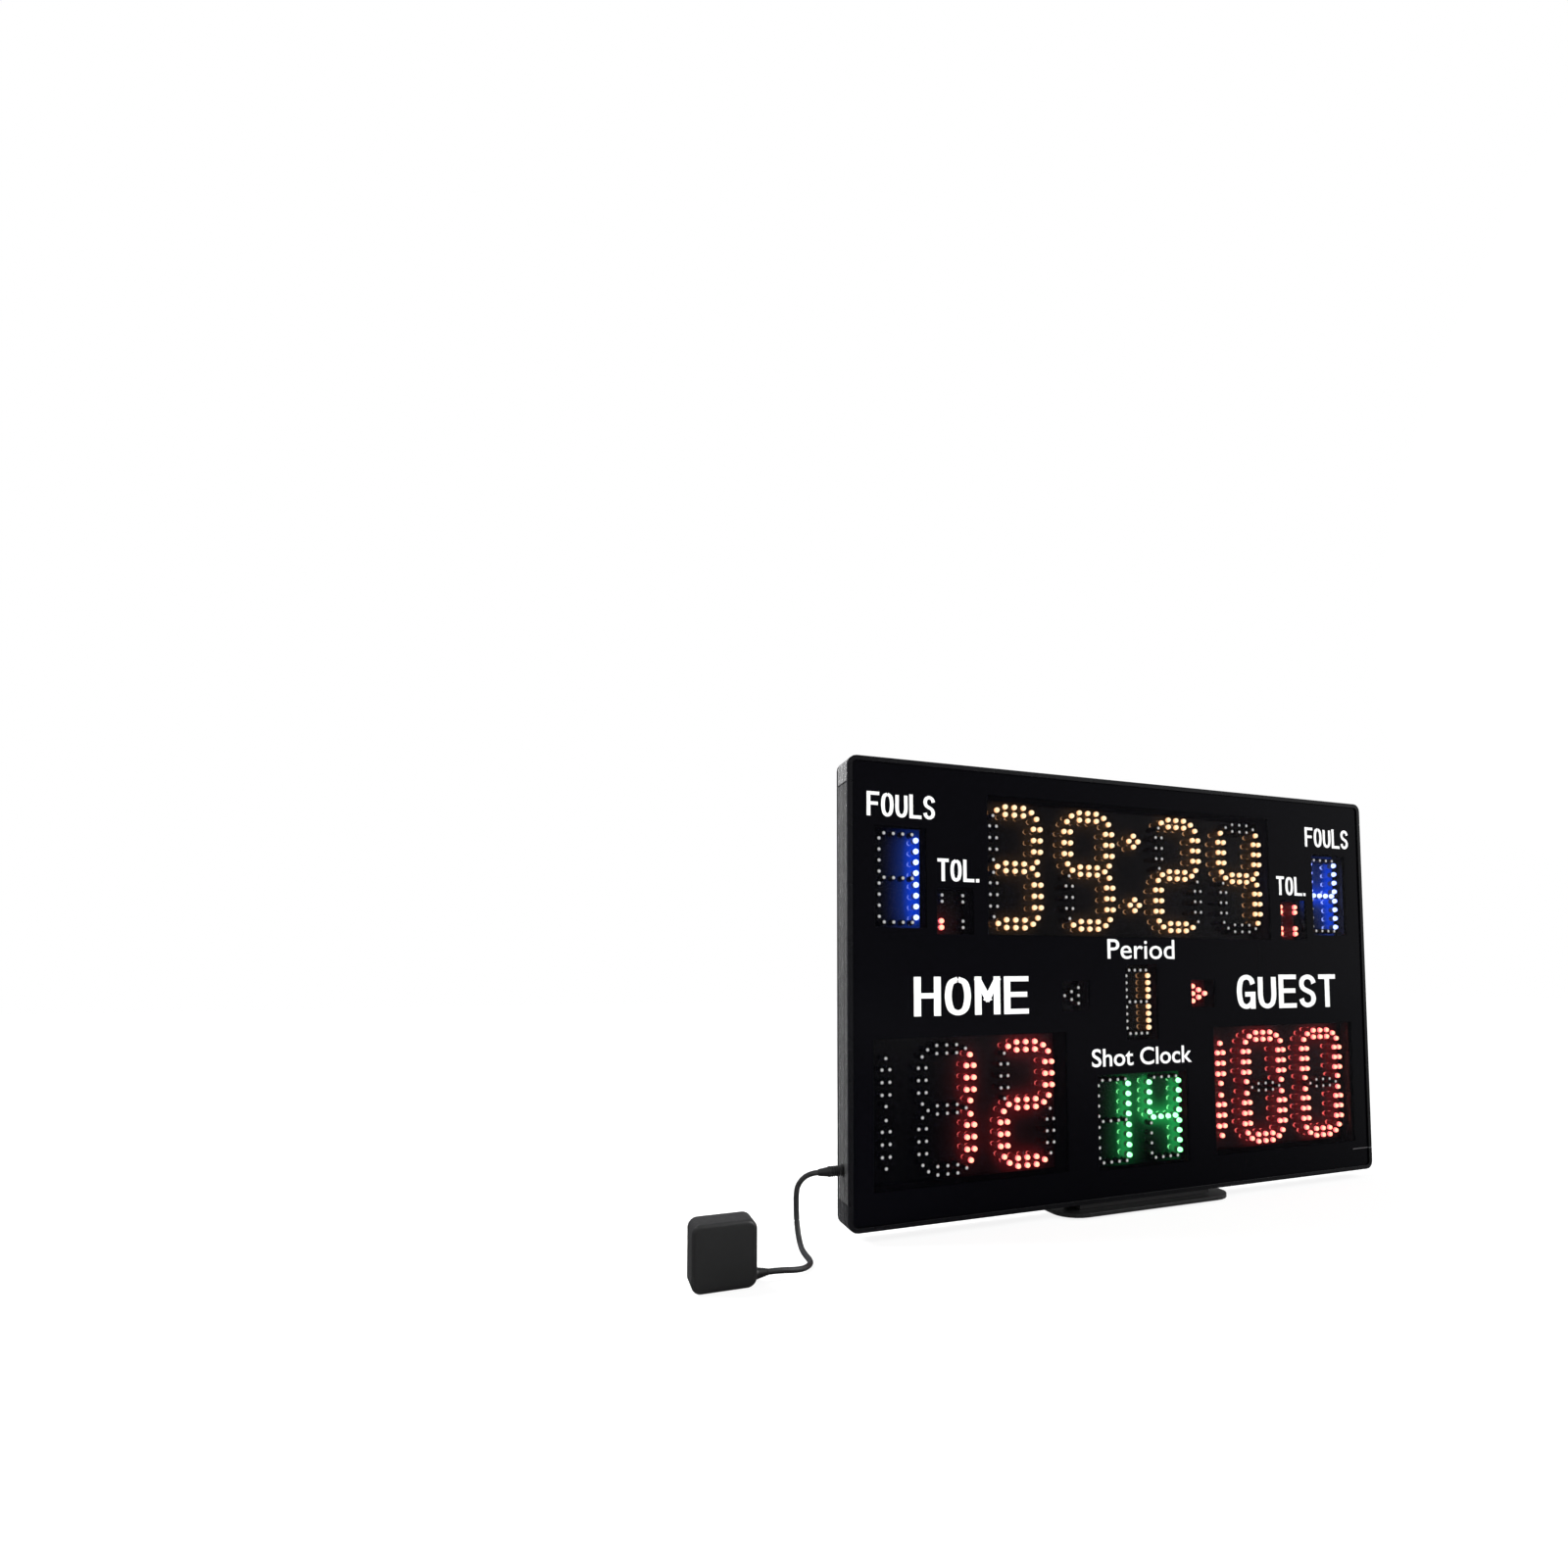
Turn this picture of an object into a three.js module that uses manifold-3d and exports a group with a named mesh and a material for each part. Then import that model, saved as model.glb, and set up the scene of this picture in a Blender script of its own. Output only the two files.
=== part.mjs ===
// Electronic scoreboard on a table foot, with a control housing on its back and a short supply lead.
// Millimetres. +X to the viewer's right, +Y to the back, +Z up; the origin lies under the middle.

import * as THREE from "three";
import { mergeVertices } from "three/addons/utils/BufferGeometryUtils.js";
import Module from "manifold-3d";

const wasm = await Module();
wasm.setup();

// Driving dimensions of the display box and its foot
const boardWidth = 597;
const boardHeight = 400;
const boardDepth = 32;
const cornerRadius = 8;
const gap = 0.3;
const overrun = 1;
const padThickness = 1.2;
const plateThickness = 3.5;
const riserThickness = 4;
const footFront = 12;
const footRear = 47;

const footDepth = footFront + boardDepth + footRear;
const frontY = footFront - footDepth / 2;
const rearY = frontY + boardDepth;
const plateBottom = padThickness + gap;
const riserBottom = plateBottom + plateThickness + gap;
const boardBottom = riserBottom + riserThickness + gap;
const boardMiddle = boardBottom + boardHeight / 2;
const boardTop = boardBottom + boardHeight;
const boardLeft = -boardWidth / 2;

const part = new THREE.Group();

// A closed three.js geometry as a solid that can be joined and cut
function solid(geometry) {
  const plain = geometry.clone();
  plain.deleteAttribute("normal");
  plain.deleteAttribute("uv");
  const merged = mergeVertices(plain);
  const index = merged.index.array;
  const faces = [];
  for (let i = 0; i < index.length; i += 3) {
    const [a, b, c] = [index[i], index[i + 1], index[i + 2]];
    if (a !== b && b !== c && c !== a) faces.push(a, b, c);
  }
  return new wasm.Manifold(
    new wasm.Mesh({
      numProp: 3,
      vertProperties: merged.attributes.position.array,
      triVerts: new Uint32Array(faces),
    }),
  );
}

// The geometry of a joined or cut solid
function geometryOf(body) {
  const mesh = body.getMesh();
  const geometry = new THREE.BufferGeometry();
  geometry.setAttribute("position", new THREE.BufferAttribute(mesh.vertProperties, mesh.numProp));
  geometry.setIndex(new THREE.BufferAttribute(mesh.triVerts, 1));
  geometry.computeVertexNormals();
  return geometry;
}

function join(bodies) {
  return bodies.reduce((all, body) => all.add(body));
}

function cut(body, tools) {
  return tools.reduce((left, tool) => left.subtract(tool), body);
}

// Adds a finished sub-part to the assembly
function addPiece(name, body, material) {
  const mesh = new THREE.Mesh(body.isBufferGeometry ? body : geometryOf(body), material);
  mesh.name = name;
  part.add(mesh);
}

function finish(color, roughness, metalness) {
  return new THREE.MeshStandardMaterial({ color, roughness, metalness });
}

// A block between two corners
function block([x0, y0, z0], [x1, y1, z1]) {
  const geometry = new THREE.BoxGeometry(x1 - x0, y1 - y0, z1 - z0);
  geometry.translate((x0 + x1) / 2, (y0 + y1) / 2, (z0 + z1) / 2);
  return solid(geometry);
}

// A rounded rectangle around a centre, as a shape or, with the same call, as a hole
function roundedRectangle(width, height, radius, arcSteps, x = 0, z = 0) {
  const points = [];
  const corners = [
    [width / 2 - radius, height / 2 - radius, 0],
    [radius - width / 2, height / 2 - radius, 1],
    [radius - width / 2, radius - height / 2, 2],
    [width / 2 - radius, radius - height / 2, 3],
  ];
  for (const [cornerX, cornerZ, quarter] of corners) {
    for (let step = 0; step <= arcSteps; step++) {
      const angle = ((quarter + step / arcSteps) * Math.PI) / 2;
      const along = x + cornerX + radius * Math.cos(angle);
      points.push(new THREE.Vector2(along, z + cornerZ + radius * Math.sin(angle)));
    }
  }
  return points;
}

// A sheet whose outline is drawn in the front view, between two depths
function sheet(outline, holes, y0, y1) {
  const shape = new THREE.Shape(outline);
  for (const hole of holes) shape.holes.push(new THREE.Path(hole));
  const geometry = new THREE.ExtrudeGeometry(shape, { depth: y1 - y0, bevelEnabled: false });
  geometry.rotateX(Math.PI / 2);
  geometry.translate(0, y1, 0);
  return solid(geometry);
}

// A column whose outline is drawn in plan, between two heights
function column(outline, z0, z1) {
  const shape = new THREE.Shape(outline.map(([x, y]) => new THREE.Vector2(x, y)));
  const geometry = new THREE.ExtrudeGeometry(shape, { depth: z1 - z0, bevelEnabled: false });
  geometry.translate(0, 0, z0);
  return solid(geometry);
}

// A turned piece on an axis through a point: its profile holds radius and distance along the axis
const towards = {
  back: new THREE.Vector3(0, 1, 0),
  front: new THREE.Vector3(0, -1, 0),
  up: new THREE.Vector3(0, 0, 1),
  left: new THREE.Vector3(-1, 0, 0),
  right: new THREE.Vector3(1, 0, 0),
};
function turned(profile, sides, direction, [x, y, z]) {
  const points = profile.map(([radius, along]) => new THREE.Vector2(radius, along));
  const geometry = new THREE.LatheGeometry(points, sides);
  const turn = new THREE.Quaternion().setFromUnitVectors(towards.back, direction);
  geometry.applyQuaternion(turn);
  geometry.translate(x, y, z);
  return solid(geometry);
}

function rod(radius, from, to, sides, direction, place) {
  const profile = [
    [0, from],
    [radius, from],
    [radius, to],
    [0, to],
  ];
  return turned(profile, sides, direction, place);
}

// Frame: one channel section of aluminium round the board, cut into four rails and four corner caps.
// A thin lip holds the front window, a rib backs it, and a ledge takes the screws of the rear panel.
const wall = 2;
const lipWidth = 4;
const lipThickness = 1.2;
const windowThickness = 3;
const ribWidth = 6;
const ribThickness = 1.5;
const ledgeWidth = 12;
const ledgeThickness = 6;
const panelThickness = 1.2;
const rearCornerRadius = 14;
const ledgeCornerRadius = 2;
const capLeg = 22.5;
const rearLip = 8;
const grooveWidth = 0.8;
const grooveDepth = 0.5;
const cornerSteps = 4;

const windowFront = frontY + lipThickness + gap;
const ribFront = windowFront + windowThickness + gap;
const panelRear = rearY - gap;
const panelFront = panelRear - panelThickness;
const ledgeRear = panelFront - gap;
const ledgeFront = ledgeRear - ledgeThickness;
const screwInset = (wall + ledgeWidth) / 2;

const aluminium = finish(0xb9babb, 0.35, 0.9);
const silverPlastic = finish(0xa9aaac, 0.45, 0.3);

function boardOutline(inset, radius) {
  const width = boardWidth - 2 * inset;
  return roundedRectangle(width, boardHeight - 2 * inset, radius, cornerSteps, 0, boardMiddle);
}

// One layer of the frame, from the outer face inwards, between two depths
function frameLayer(inset, radius, y0, y1) {
  return sheet(boardOutline(0, cornerRadius), [boardOutline(inset, radius)], y0, y1);
}

// Screws of the rear panel: five along the top and the bottom, three up each side
const sideScrews = 3;
const rowScrews = 5;
const rowInset = 52.5;
const sideInset = 45;
const rowPitch = (boardWidth - 2 * rowInset) / (rowScrews - 1);
const sidePitch = (boardHeight - 2 * sideInset) / (sideScrews - 1);
const screwHoleRadius = 2.4;
const panelHoleRadius = 2.5;
const screwSides = 8;
const holeSides = 6;

const screwPlaces = [];
for (let i = 0; i < rowScrews; i++) {
  const x = (i - (rowScrews - 1) / 2) * rowPitch;
  screwPlaces.push([x, boardTop - screwInset], [x, boardBottom + screwInset]);
}
for (let i = 0; i < sideScrews; i++) {
  const z = boardMiddle + (i - (sideScrews - 1) / 2) * sidePitch;
  screwPlaces.push([boardLeft + screwInset, z], [-boardLeft - screwInset, z]);
}

// Supply inlet in the left rail
const inletRadius = 5.5;
const inletDepth = 17;
const inletHeight = 49;
const inletLength = 12;
const inletPlace = [boardLeft, frontY + inletDepth, boardBottom + inletHeight];
const roundSides = 12;

// Foot screws run up through the plate and the riser into the ledge of the bottom rail
const footScrewX = 60;
const footScrewRadius = 2;
const footScrewY = (ledgeFront + ledgeRear) / 2;
const footScrewGrip = 7;
const footHoleRadius = 2.3;

const outerFrame = join([
  frameLayer(wall, cornerRadius - wall, frontY, ledgeRear),
  frameLayer(wall, rearCornerRadius, ledgeRear, rearY),
  frameLayer(lipWidth, cornerRadius - lipWidth, frontY, frontY + lipThickness),
  frameLayer(ribWidth, ledgeCornerRadius, ribFront, ribFront + ribThickness),
  frameLayer(ledgeWidth, ledgeCornerRadius, ledgeFront, ledgeRear),
]);
const grooveFront = rearY - rearLip;
const groove = sheet(
  boardOutline(-overrun, cornerRadius + overrun),
  [boardOutline(grooveDepth, cornerRadius - grooveDepth)],
  grooveFront,
  grooveFront + grooveWidth,
);
const screwHoles = screwPlaces.map(([x, z]) =>
  rod(screwHoleRadius, ledgeFront - overrun, rearY, holeSides, towards.back, [x, 0, z]),
);
const footScrewHoles = [-footScrewX, footScrewX].map((x) =>
  rod(
    footHoleRadius,
    boardBottom - overrun,
    boardBottom + footScrewGrip + gap,
    screwSides,
    towards.up,
    [x, footScrewY, 0],
  ),
);
const inletHole = rod(inletRadius + gap, -wall - overrun, overrun, roundSides, towards.left, inletPlace);
const drilledFrame = cut(outerFrame, [groove, ...screwHoles, ...footScrewHoles, inletHole]);

const capX = boardWidth / 2 - capLeg;
const capZ = boardHeight / 2 - capLeg;
function frameCut([x0, z0], [x1, z1]) {
  const low = [x0, frontY - overrun, boardMiddle + z0];
  return drilledFrame.intersect(block(low, [x1, rearY + overrun, boardMiddle + z1]));
}
const pastX = boardWidth / 2 + overrun;
const pastZ = boardHeight / 2 + overrun;
const railX = capX - gap;
const railZ = capZ - gap;
addPiece("top_rail", frameCut([-railX, railZ], [railX, pastZ]), aluminium);
addPiece("bottom_rail", frameCut([-railX, -pastZ], [railX, -railZ]), aluminium);
addPiece("left_rail", frameCut([-pastX, -railZ], [-railX, railZ]), aluminium);
addPiece("right_rail", frameCut([railX, -railZ], [pastX, railZ]), aluminium);
addPiece("corner_cap_top_left", frameCut([-pastX, capZ], [-capX, pastZ]), silverPlastic);
addPiece("corner_cap_top_right", frameCut([capX, capZ], [pastX, pastZ]), silverPlastic);
addPiece("corner_cap_bottom_left", frameCut([-pastX, -pastZ], [-capX, -capZ]), silverPlastic);
addPiece("corner_cap_bottom_right", frameCut([capX, -pastZ], [pastX, -capZ]), silverPlastic);

// Front window: one smoked acrylic sheet behind the lip
const smokedAcrylic = finish(0x0b0c10, 0.12, 0);
const windowInset = wall + gap;
addPiece(
  "front_window",
  sheet(
    boardOutline(windowInset, cornerRadius - windowInset),
    [],
    windowFront,
    windowFront + windowThickness,
  ),
  smokedAcrylic,
);

// Lamp boards: lamps stand on dark circuit boards, and posts hold each board off the rear panel.
// Large digits have double rows of lamps, small digits single rows. The face is laid out from the
// middle and from the bottom of the board, and spreads until its outermost lamps reach the margins.
const circuitBoard = finish(0x101214, 0.5, 0);
const lampSize = 4.6;
const lampHeight = 10.4;
const boardThickness = 1.6;
const boardMargin = 4;
const postSize = 5;
const lampDepth = 17.8;
const lampFace = frontY + lampDepth;
const sideMargin = 30.6;
const topMargin = 32.25;

const digitPitch = 80.6;
const uprightX = 23.6;
const uprightZ = 26.2;
const uprightPitch = 10.66;
const uprightEnd = 20.3;
const levelZ = 52.4;
const levelPitch = 9.6;
const levelEnd = 18.3;
const twinHalf = 3.55;

const smallUpright = 17.7;
const smallLow = 5.2;
const smallHigh = 34;
const smallLevel = 38.7;
const smallPitch = 8.8;
const small = [smallUpright, smallLow, smallHigh, smallLevel, smallPitch];

const tinyUpright = 13.5;
const tinyLow = 4.9;
const tinyHigh = 25.3;
const tinyLevel = 30.7;
const tinyPitch = 6.6;
const tiny = [tinyUpright, tinyLow, tinyHigh, tinyLevel, tinyPitch];

const clockHeight = 311.8;
const foulsX = 250.2;
const spreadX = (boardWidth / 2 - sideMargin) / (foulsX + smallUpright);
const spreadZ = (boardHeight - topMargin) / (clockHeight + levelZ + twinHalf);

// Upright segment of a large digit: a single lamp at each end and three pairs between them
function largeUpright(x, z) {
  const lamps = [
    [x, z - uprightEnd],
    [x, z + uprightEnd],
  ];
  for (let i = -1; i <= 1; i++) {
    const height = z + i * uprightPitch;
    lamps.push([x - twinHalf, height], [x + twinHalf, height]);
  }
  return lamps;
}

// Level segment of a large digit, made the same way
function largeLevel(x, z) {
  const lamps = [
    [x - levelEnd, z],
    [x + levelEnd, z],
  ];
  for (let i = -1; i <= 1; i++) {
    const along = x + i * levelPitch;
    lamps.push([along, z - twinHalf], [along, z + twinHalf]);
  }
  return lamps;
}

function largeDigit(x, z) {
  const lamps = [-levelZ, 0, levelZ].flatMap((rise) => largeLevel(x, z + rise));
  for (const side of [-uprightX, uprightX]) {
    for (const rise of [-uprightZ, uprightZ]) {
      lamps.push(...largeUpright(x + side, z + rise));
    }
  }
  return lamps;
}

// The hundreds place shows only a one, so it has the two right-hand segments alone
function largeOne(x, z) {
  return [-uprightZ, uprightZ].flatMap((rise) => largeUpright(x, z + rise));
}

// Digit of single lamps in one of two sizes: seven segments of four lamps
function singleDigit([upright, low, high, level, pitch], x, z) {
  const lamps = [];
  const perSegment = 4;
  for (let i = 0; i < perSegment; i++) {
    const along = x + (i - (perSegment - 1) / 2) * pitch;
    const rise = low + (i * (high - low)) / (perSegment - 1);
    for (const row of [-level, 0, level]) lamps.push([along, z + row]);
    for (const side of [-upright, upright]) {
      lamps.push([x + side, z + rise], [x + side, z - rise]);
    }
  }
  return lamps;
}

// Makes a board from its layout of lamps, with posts at the given shares of its half width and height
function lampBoard(name, layout, postShares) {
  const lamps = layout.map(([x, z]) => [x * spreadX, boardBottom + z * spreadZ]);
  const xs = lamps.map(([x]) => x);
  const zs = lamps.map(([, z]) => z);
  const reach = lampSize / 2 + boardMargin;
  const [x0, x1] = [Math.min(...xs) - reach, Math.max(...xs) + reach];
  const [z0, z1] = [Math.min(...zs) - reach, Math.max(...zs) + reach];
  const rear = lampFace + boardThickness;
  const half = lampSize / 2;
  const bodies = [block([x0, lampFace, z0], [x1, rear, z1])];
  for (const [x, z] of lamps) {
    const low = [x - half, lampFace - lampHeight, z - half];
    bodies.push(block(low, [x + half, lampFace + boardThickness / 2, z + half]));
  }
  const [halfWidth, halfHeight] = [(x1 - x0) / 2 - postSize, (z1 - z0) / 2 - postSize];
  for (const [shareX, shareZ] of postShares) {
    const x = (x0 + x1) / 2 + shareX * halfWidth;
    const z = (z0 + z1) / 2 + shareZ * halfHeight;
    const low = [x - postSize / 2, lampFace + boardThickness / 2, z - postSize / 2];
    bodies.push(block(low, [x + postSize / 2, panelFront - gap, z + postSize / 2]));
  }
  addPiece(name, wasm.Manifold.union(bodies), circuitBoard);
}

const cornerPostShares = [
  [-1, -1],
  [1, -1],
  [-1, 1],
  [1, 1],
];
const endPostShares = [
  [0, -1],
  [0, 1],
];

// Game clock: four large digits and a colon of two diamonds
const clockInner = 52.7;
const colonRise = 31.6;
const diamond = 5.4;
const clockLamps = [-1, 1].flatMap((side) => [
  ...largeDigit(side * clockInner, clockHeight),
  ...largeDigit(side * (clockInner + digitPitch), clockHeight),
]);
for (const rise of [-colonRise, colonRise]) {
  clockLamps.push([-diamond, clockHeight + rise], [diamond, clockHeight + rise]);
  clockLamps.push([0, clockHeight + rise - diamond], [0, clockHeight + rise + diamond]);
}
lampBoard("clock_board", clockLamps, cornerPostShares);

// Scores: a hundreds one and two large digits on each side, placed from the middle of the group
const scoreMiddle = 182;
const scoreHeight = 95;
const scoreUnits = 57.2;
const scoreHundreds = 80.6;
for (const [side, name] of [
  [-1, "home_score_board"],
  [1, "guest_score_board"],
]) {
  const units = side * scoreMiddle + scoreUnits;
  const lamps = [
    ...largeOne(side * scoreMiddle - scoreHundreds, scoreHeight),
    ...largeDigit(units - digitPitch, scoreHeight),
    ...largeDigit(units, scoreHeight),
  ];
  lampBoard(name, lamps, cornerPostShares);
}

// Fouls: one small digit on each side
const foulsHeight = 297.2;
lampBoard("home_fouls_board", singleDigit(small, -foulsX, foulsHeight), endPostShares);
lampBoard("guest_fouls_board", singleDigit(small, foulsX, foulsHeight), endPostShares);

// Time-outs left: two rows of two upright pairs on each side
const timeoutX = 198.4;
const timeoutHalfX = 10.2;
const timeoutHeight = 269.2;
const timeoutHalfZ = 11.5;
const timeoutTwin = 2.85;
for (const [side, name] of [
  [-1, "home_timeouts_board"],
  [1, "guest_timeouts_board"],
]) {
  const lamps = [];
  for (const [shareX, shareZ] of cornerPostShares) {
    const x = side * timeoutX + shareX * timeoutHalfX;
    const z = timeoutHeight + shareZ * timeoutHalfZ;
    lamps.push([x, z - timeoutTwin], [x, z + timeoutTwin]);
  }
  lampBoard(name, lamps, endPostShares);
}

// Period: one tiny digit in the middle
const periodHeight = 185.6;
lampBoard("period_board", singleDigit(tiny, 0, periodHeight), endPostShares);

// Possession arrows: triangles of one, two and three lamps
const arrowTip = 83.5;
const arrowPitch = 7.65;
const arrowHeight = 192.6;
const arrowRise = 3.7;
const arrowColumns = 3;
for (const [side, name] of [
  [-1, "home_possession_board"],
  [1, "guest_possession_board"],
]) {
  const lamps = [];
  for (let behind = 0; behind < arrowColumns; behind++) {
    const x = side * (arrowTip - behind * arrowPitch);
    for (let i = 0; i <= behind; i++) {
      lamps.push([x, arrowHeight + (2 * i - behind) * arrowRise]);
    }
  }
  lampBoard(name, lamps, endPostShares);
}

// Shot clock: two small digits below the middle
const shotX = 30.1;
const shotHeight = 72.9;
const shotLamps = [-shotX, shotX].flatMap((x) => singleDigit(small, x, shotHeight));
lampBoard("shot_clock_board", shotLamps, cornerPostShares);

// Control housing on the back: a moulded shell on a flange. Its left flank, seen from behind, slopes
// out to the main face and is louvred; the face has keyholes, a battery bay and a finger recess.
const housingRise = 22;
const housingWall = 2.4;
const housingLow = 112.8;
const housingHigh = 277.3;
const housingFoot = 158;
const slopeTop = 95;
const steepTop = -135;
const flangeMargin = 6.5;
const flangeThickness = 3;
const flangeRadius = 4;
const flangeSteps = 3;
const housingColour = finish(0x6d6e71, 0.55, 0);

const housingBottomZ = boardBottom + housingLow;
const housingTopZ = boardBottom + housingHigh;
const faceY = rearY + housingRise;
const innerFaceY = faceY - housingWall;

// Moves each side of a convex outline inwards by the thickness of the wall
function insetOutline(outline, thickness) {
  const lines = outline.map(([x, y], i) => {
    const [nextX, nextY] = outline[(i + 1) % outline.length];
    const length = Math.hypot(nextX - x, nextY - y);
    const direction = [(nextX - x) / length, (nextY - y) / length];
    return [x - direction[1] * thickness, y + direction[0] * thickness, ...direction];
  });
  return lines.map(([x, y, dx, dy], i) => {
    const [lastX, lastY, lastDx, lastDy] = lines[(i + lines.length - 1) % lines.length];
    const along = ((x - lastX) * dy - (y - lastY) * dx) / (lastDx * dy - lastDy * dx);
    return [lastX + lastDx * along, lastY + lastDy * along];
  });
}

const housingPlan = [
  [-housingFoot, rearY],
  [housingFoot, rearY],
  [slopeTop, faceY],
  [steepTop, faceY],
];
const hollowPlan = insetOutline(housingPlan, housingWall);
const openPlan = hollowPlan.map(([x, y]) => [x, y < faceY - housingRise / 2 ? rearY - overrun : y]);
const flange = sheet(
  roundedRectangle(
    2 * (housingFoot + flangeMargin),
    housingHigh - housingLow + 2 * flangeMargin,
    flangeRadius,
    flangeSteps,
    0,
    (housingBottomZ + housingTopZ) / 2,
  ),
  [],
  rearY,
  rearY + flangeThickness,
);
const shell = cut(join([flange, column(housingPlan, housingBottomZ, housingTopZ)]), [
  column(openPlan, housingBottomZ + housingWall, housingTopZ - housingWall),
]);

// Battery bay: a tray behind the main face, with a rebate that the cover drops into
const coverX = -19.8;
const coverWidth = 123;
const coverHeight = 105.4;
const coverLow = 146.5;
const coverThickness = 2.4;
const coverRest = 3;
const coverRadius = 1.5;
const bayWall = 2.5;
const bayFloor = 1.8;
const coverZ = boardBottom + coverLow + coverHeight / 2;
const coverRear = faceY - coverThickness;
const bayFloorY = rearY + gap + bayFloor;

function aroundCover(extra, y0, y1) {
  const halfX = coverWidth / 2 + extra;
  const halfZ = coverHeight / 2 + extra;
  return block([coverX - halfX, y0, coverZ - halfZ], [coverX + halfX, y1, coverZ + halfZ]);
}
const bayBlock = aroundCover(bayWall, rearY + gap, innerFaceY + housingWall / 2);
const bayHollow = aroundCover(-coverRest, bayFloorY, faceY + overrun);
const coverRebate = aroundCover(gap, coverRear - gap, faceY + overrun);

// Finger recess above the cover, where the latch sits
const recessWidth = 44.6;
const recessHeight = 20.4;
const recessDepth = 8;
const recessWall = 1.8;
const coverTopZ = coverZ + coverHeight / 2;
const recessBottomZ = coverTopZ + gap;
const recessTopZ = recessBottomZ + recessHeight;
const recessBlock = block(
  [coverX - recessWidth / 2 - recessWall, faceY - recessDepth - recessWall, coverTopZ - coverRest],
  [coverX + recessWidth / 2 + recessWall, innerFaceY + housingWall / 2, recessTopZ + recessWall],
);
const recessHollow = block(
  [coverX - recessWidth / 2, faceY - recessDepth, recessBottomZ],
  [coverX + recessWidth / 2, faceY + overrun, recessTopZ],
);

// Screw pillars near the corners of the cover: screws sunk in them hold the housing to the rear panel
const pillarPitchX = 122.8;
const pillarPitchZ = 127;
const pillarDrop = 3.2;
const pillarRadius = 4.5;
const pillarSinkRadius = 2.7;
const pillarSeat = 6;
const pillarScrewRadius = 1.5;
const pillarZ = coverZ - pillarDrop;
const pillarPlaces = cornerPostShares.map(([shareX, shareZ]) => [
  coverX + (shareX * pillarPitchX) / 2,
  pillarZ + (shareZ * pillarPitchZ) / 2,
]);
const pillars = pillarPlaces.map(([x, z]) =>
  rod(pillarRadius, rearY, innerFaceY + housingWall / 2, roundSides, towards.back, [x, 0, z]),
);
const pillarHoles = pillarPlaces.flatMap(([x, z]) => [
  rod(pillarScrewRadius + gap, rearY - overrun, faceY, screwSides, towards.back, [x, 0, z]),
  rod(pillarSinkRadius, rearY + pillarSeat, faceY + overrun, roundSides, towards.back, [x, 0, z]),
]);

// Keyholes for hanging the board on two wall screws
const keyholePitch = 196.8;
const keyRadius = 7.4;
const keySlotRadius = 3.8;
const keyLow = 237.5;
const keyRise = 14.9;
const keySteps = 8;
const keyRoundZ = boardBottom + keyLow + keyRadius;
const keyholePlaces = [coverX - keyholePitch / 2, coverX + keyholePitch / 2];

function keyholeOutline(x) {
  const points = [];
  const neck = Math.asin(keySlotRadius / keyRadius);
  for (let step = 0; step <= keySteps * 2; step++) {
    const angle = Math.PI / 2 + neck + (step / (keySteps * 2)) * (2 * Math.PI - 2 * neck);
    const across = x + keyRadius * Math.cos(angle);
    points.push(new THREE.Vector2(across, keyRoundZ + keyRadius * Math.sin(angle)));
  }
  for (let step = 0; step <= keySteps; step++) {
    const angle = (step / keySteps) * Math.PI;
    const across = x + keySlotRadius * Math.cos(angle);
    points.push(new THREE.Vector2(across, keyRoundZ + keyRise + keySlotRadius * Math.sin(angle)));
  }
  return points;
}
const keyholes = keyholePlaces.map((x) =>
  sheet(keyholeOutline(x), [], innerFaceY - overrun, faceY + overrun),
);

// Louvres: ten slots through the sloped flank that wrap a little way on to the main face
const louvres = 10;
const louvreLow = 160;
const louvrePitch = 6.9;
const louvreHeight = 3.4;
const louvreWrap = 5;
const louvreEnd = 3;
const louvreCuts = [];
for (let i = 0; i < louvres; i++) {
  const z = boardBottom + louvreLow + i * louvrePitch;
  const low = [slopeTop - louvreWrap, rearY + flangeThickness, z];
  louvreCuts.push(block(low, [housingFoot - louvreEnd, faceY + overrun, z + louvreHeight]));
}

// Push buttons: power on the top edge, setting beside the latch
const powerRadius = 3.5;
const powerX = 88;
const powerRise = 6.5;
const powerPlace = [powerX, (rearY + faceY) / 2, housingTopZ];
const settingRadius = 5.2;
const settingX = -57.7;
const settingHeight = 259.5;
const settingRise = 1.4;
const settingPlace = [settingX, faceY, boardBottom + settingHeight];
const collarWidth = 0.8;
const collarThickness = 1.5;
const buttonStem = 2;
const buttonChamfer = 0.8;
const buttonGap = 0.4;
const wellDepth = 9;

const powerHole = rod(
  powerRadius + buttonGap, -housingWall - overrun, overrun, roundSides, towards.up, powerPlace);
const settingHole = rod(
  settingRadius + buttonGap, -housingWall - overrun, overrun, roundSides, towards.back, settingPlace);
const settingWell = rod(
  settingRadius + collarWidth + buttonGap,
  -housingWall - wellDepth, -housingWall, roundSides, towards.back, settingPlace);

const housingBlank = join([shell, bayBlock, recessBlock, ...pillars]);
const housing = cut(housingBlank, [
  bayHollow,
  coverRebate,
  recessHollow,
  ...pillarHoles,
  ...keyholes,
  ...louvreCuts,
  powerHole,
  settingHole,
  settingWell,
]);
addPiece("control_housing", housing, housingColour);

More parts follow.
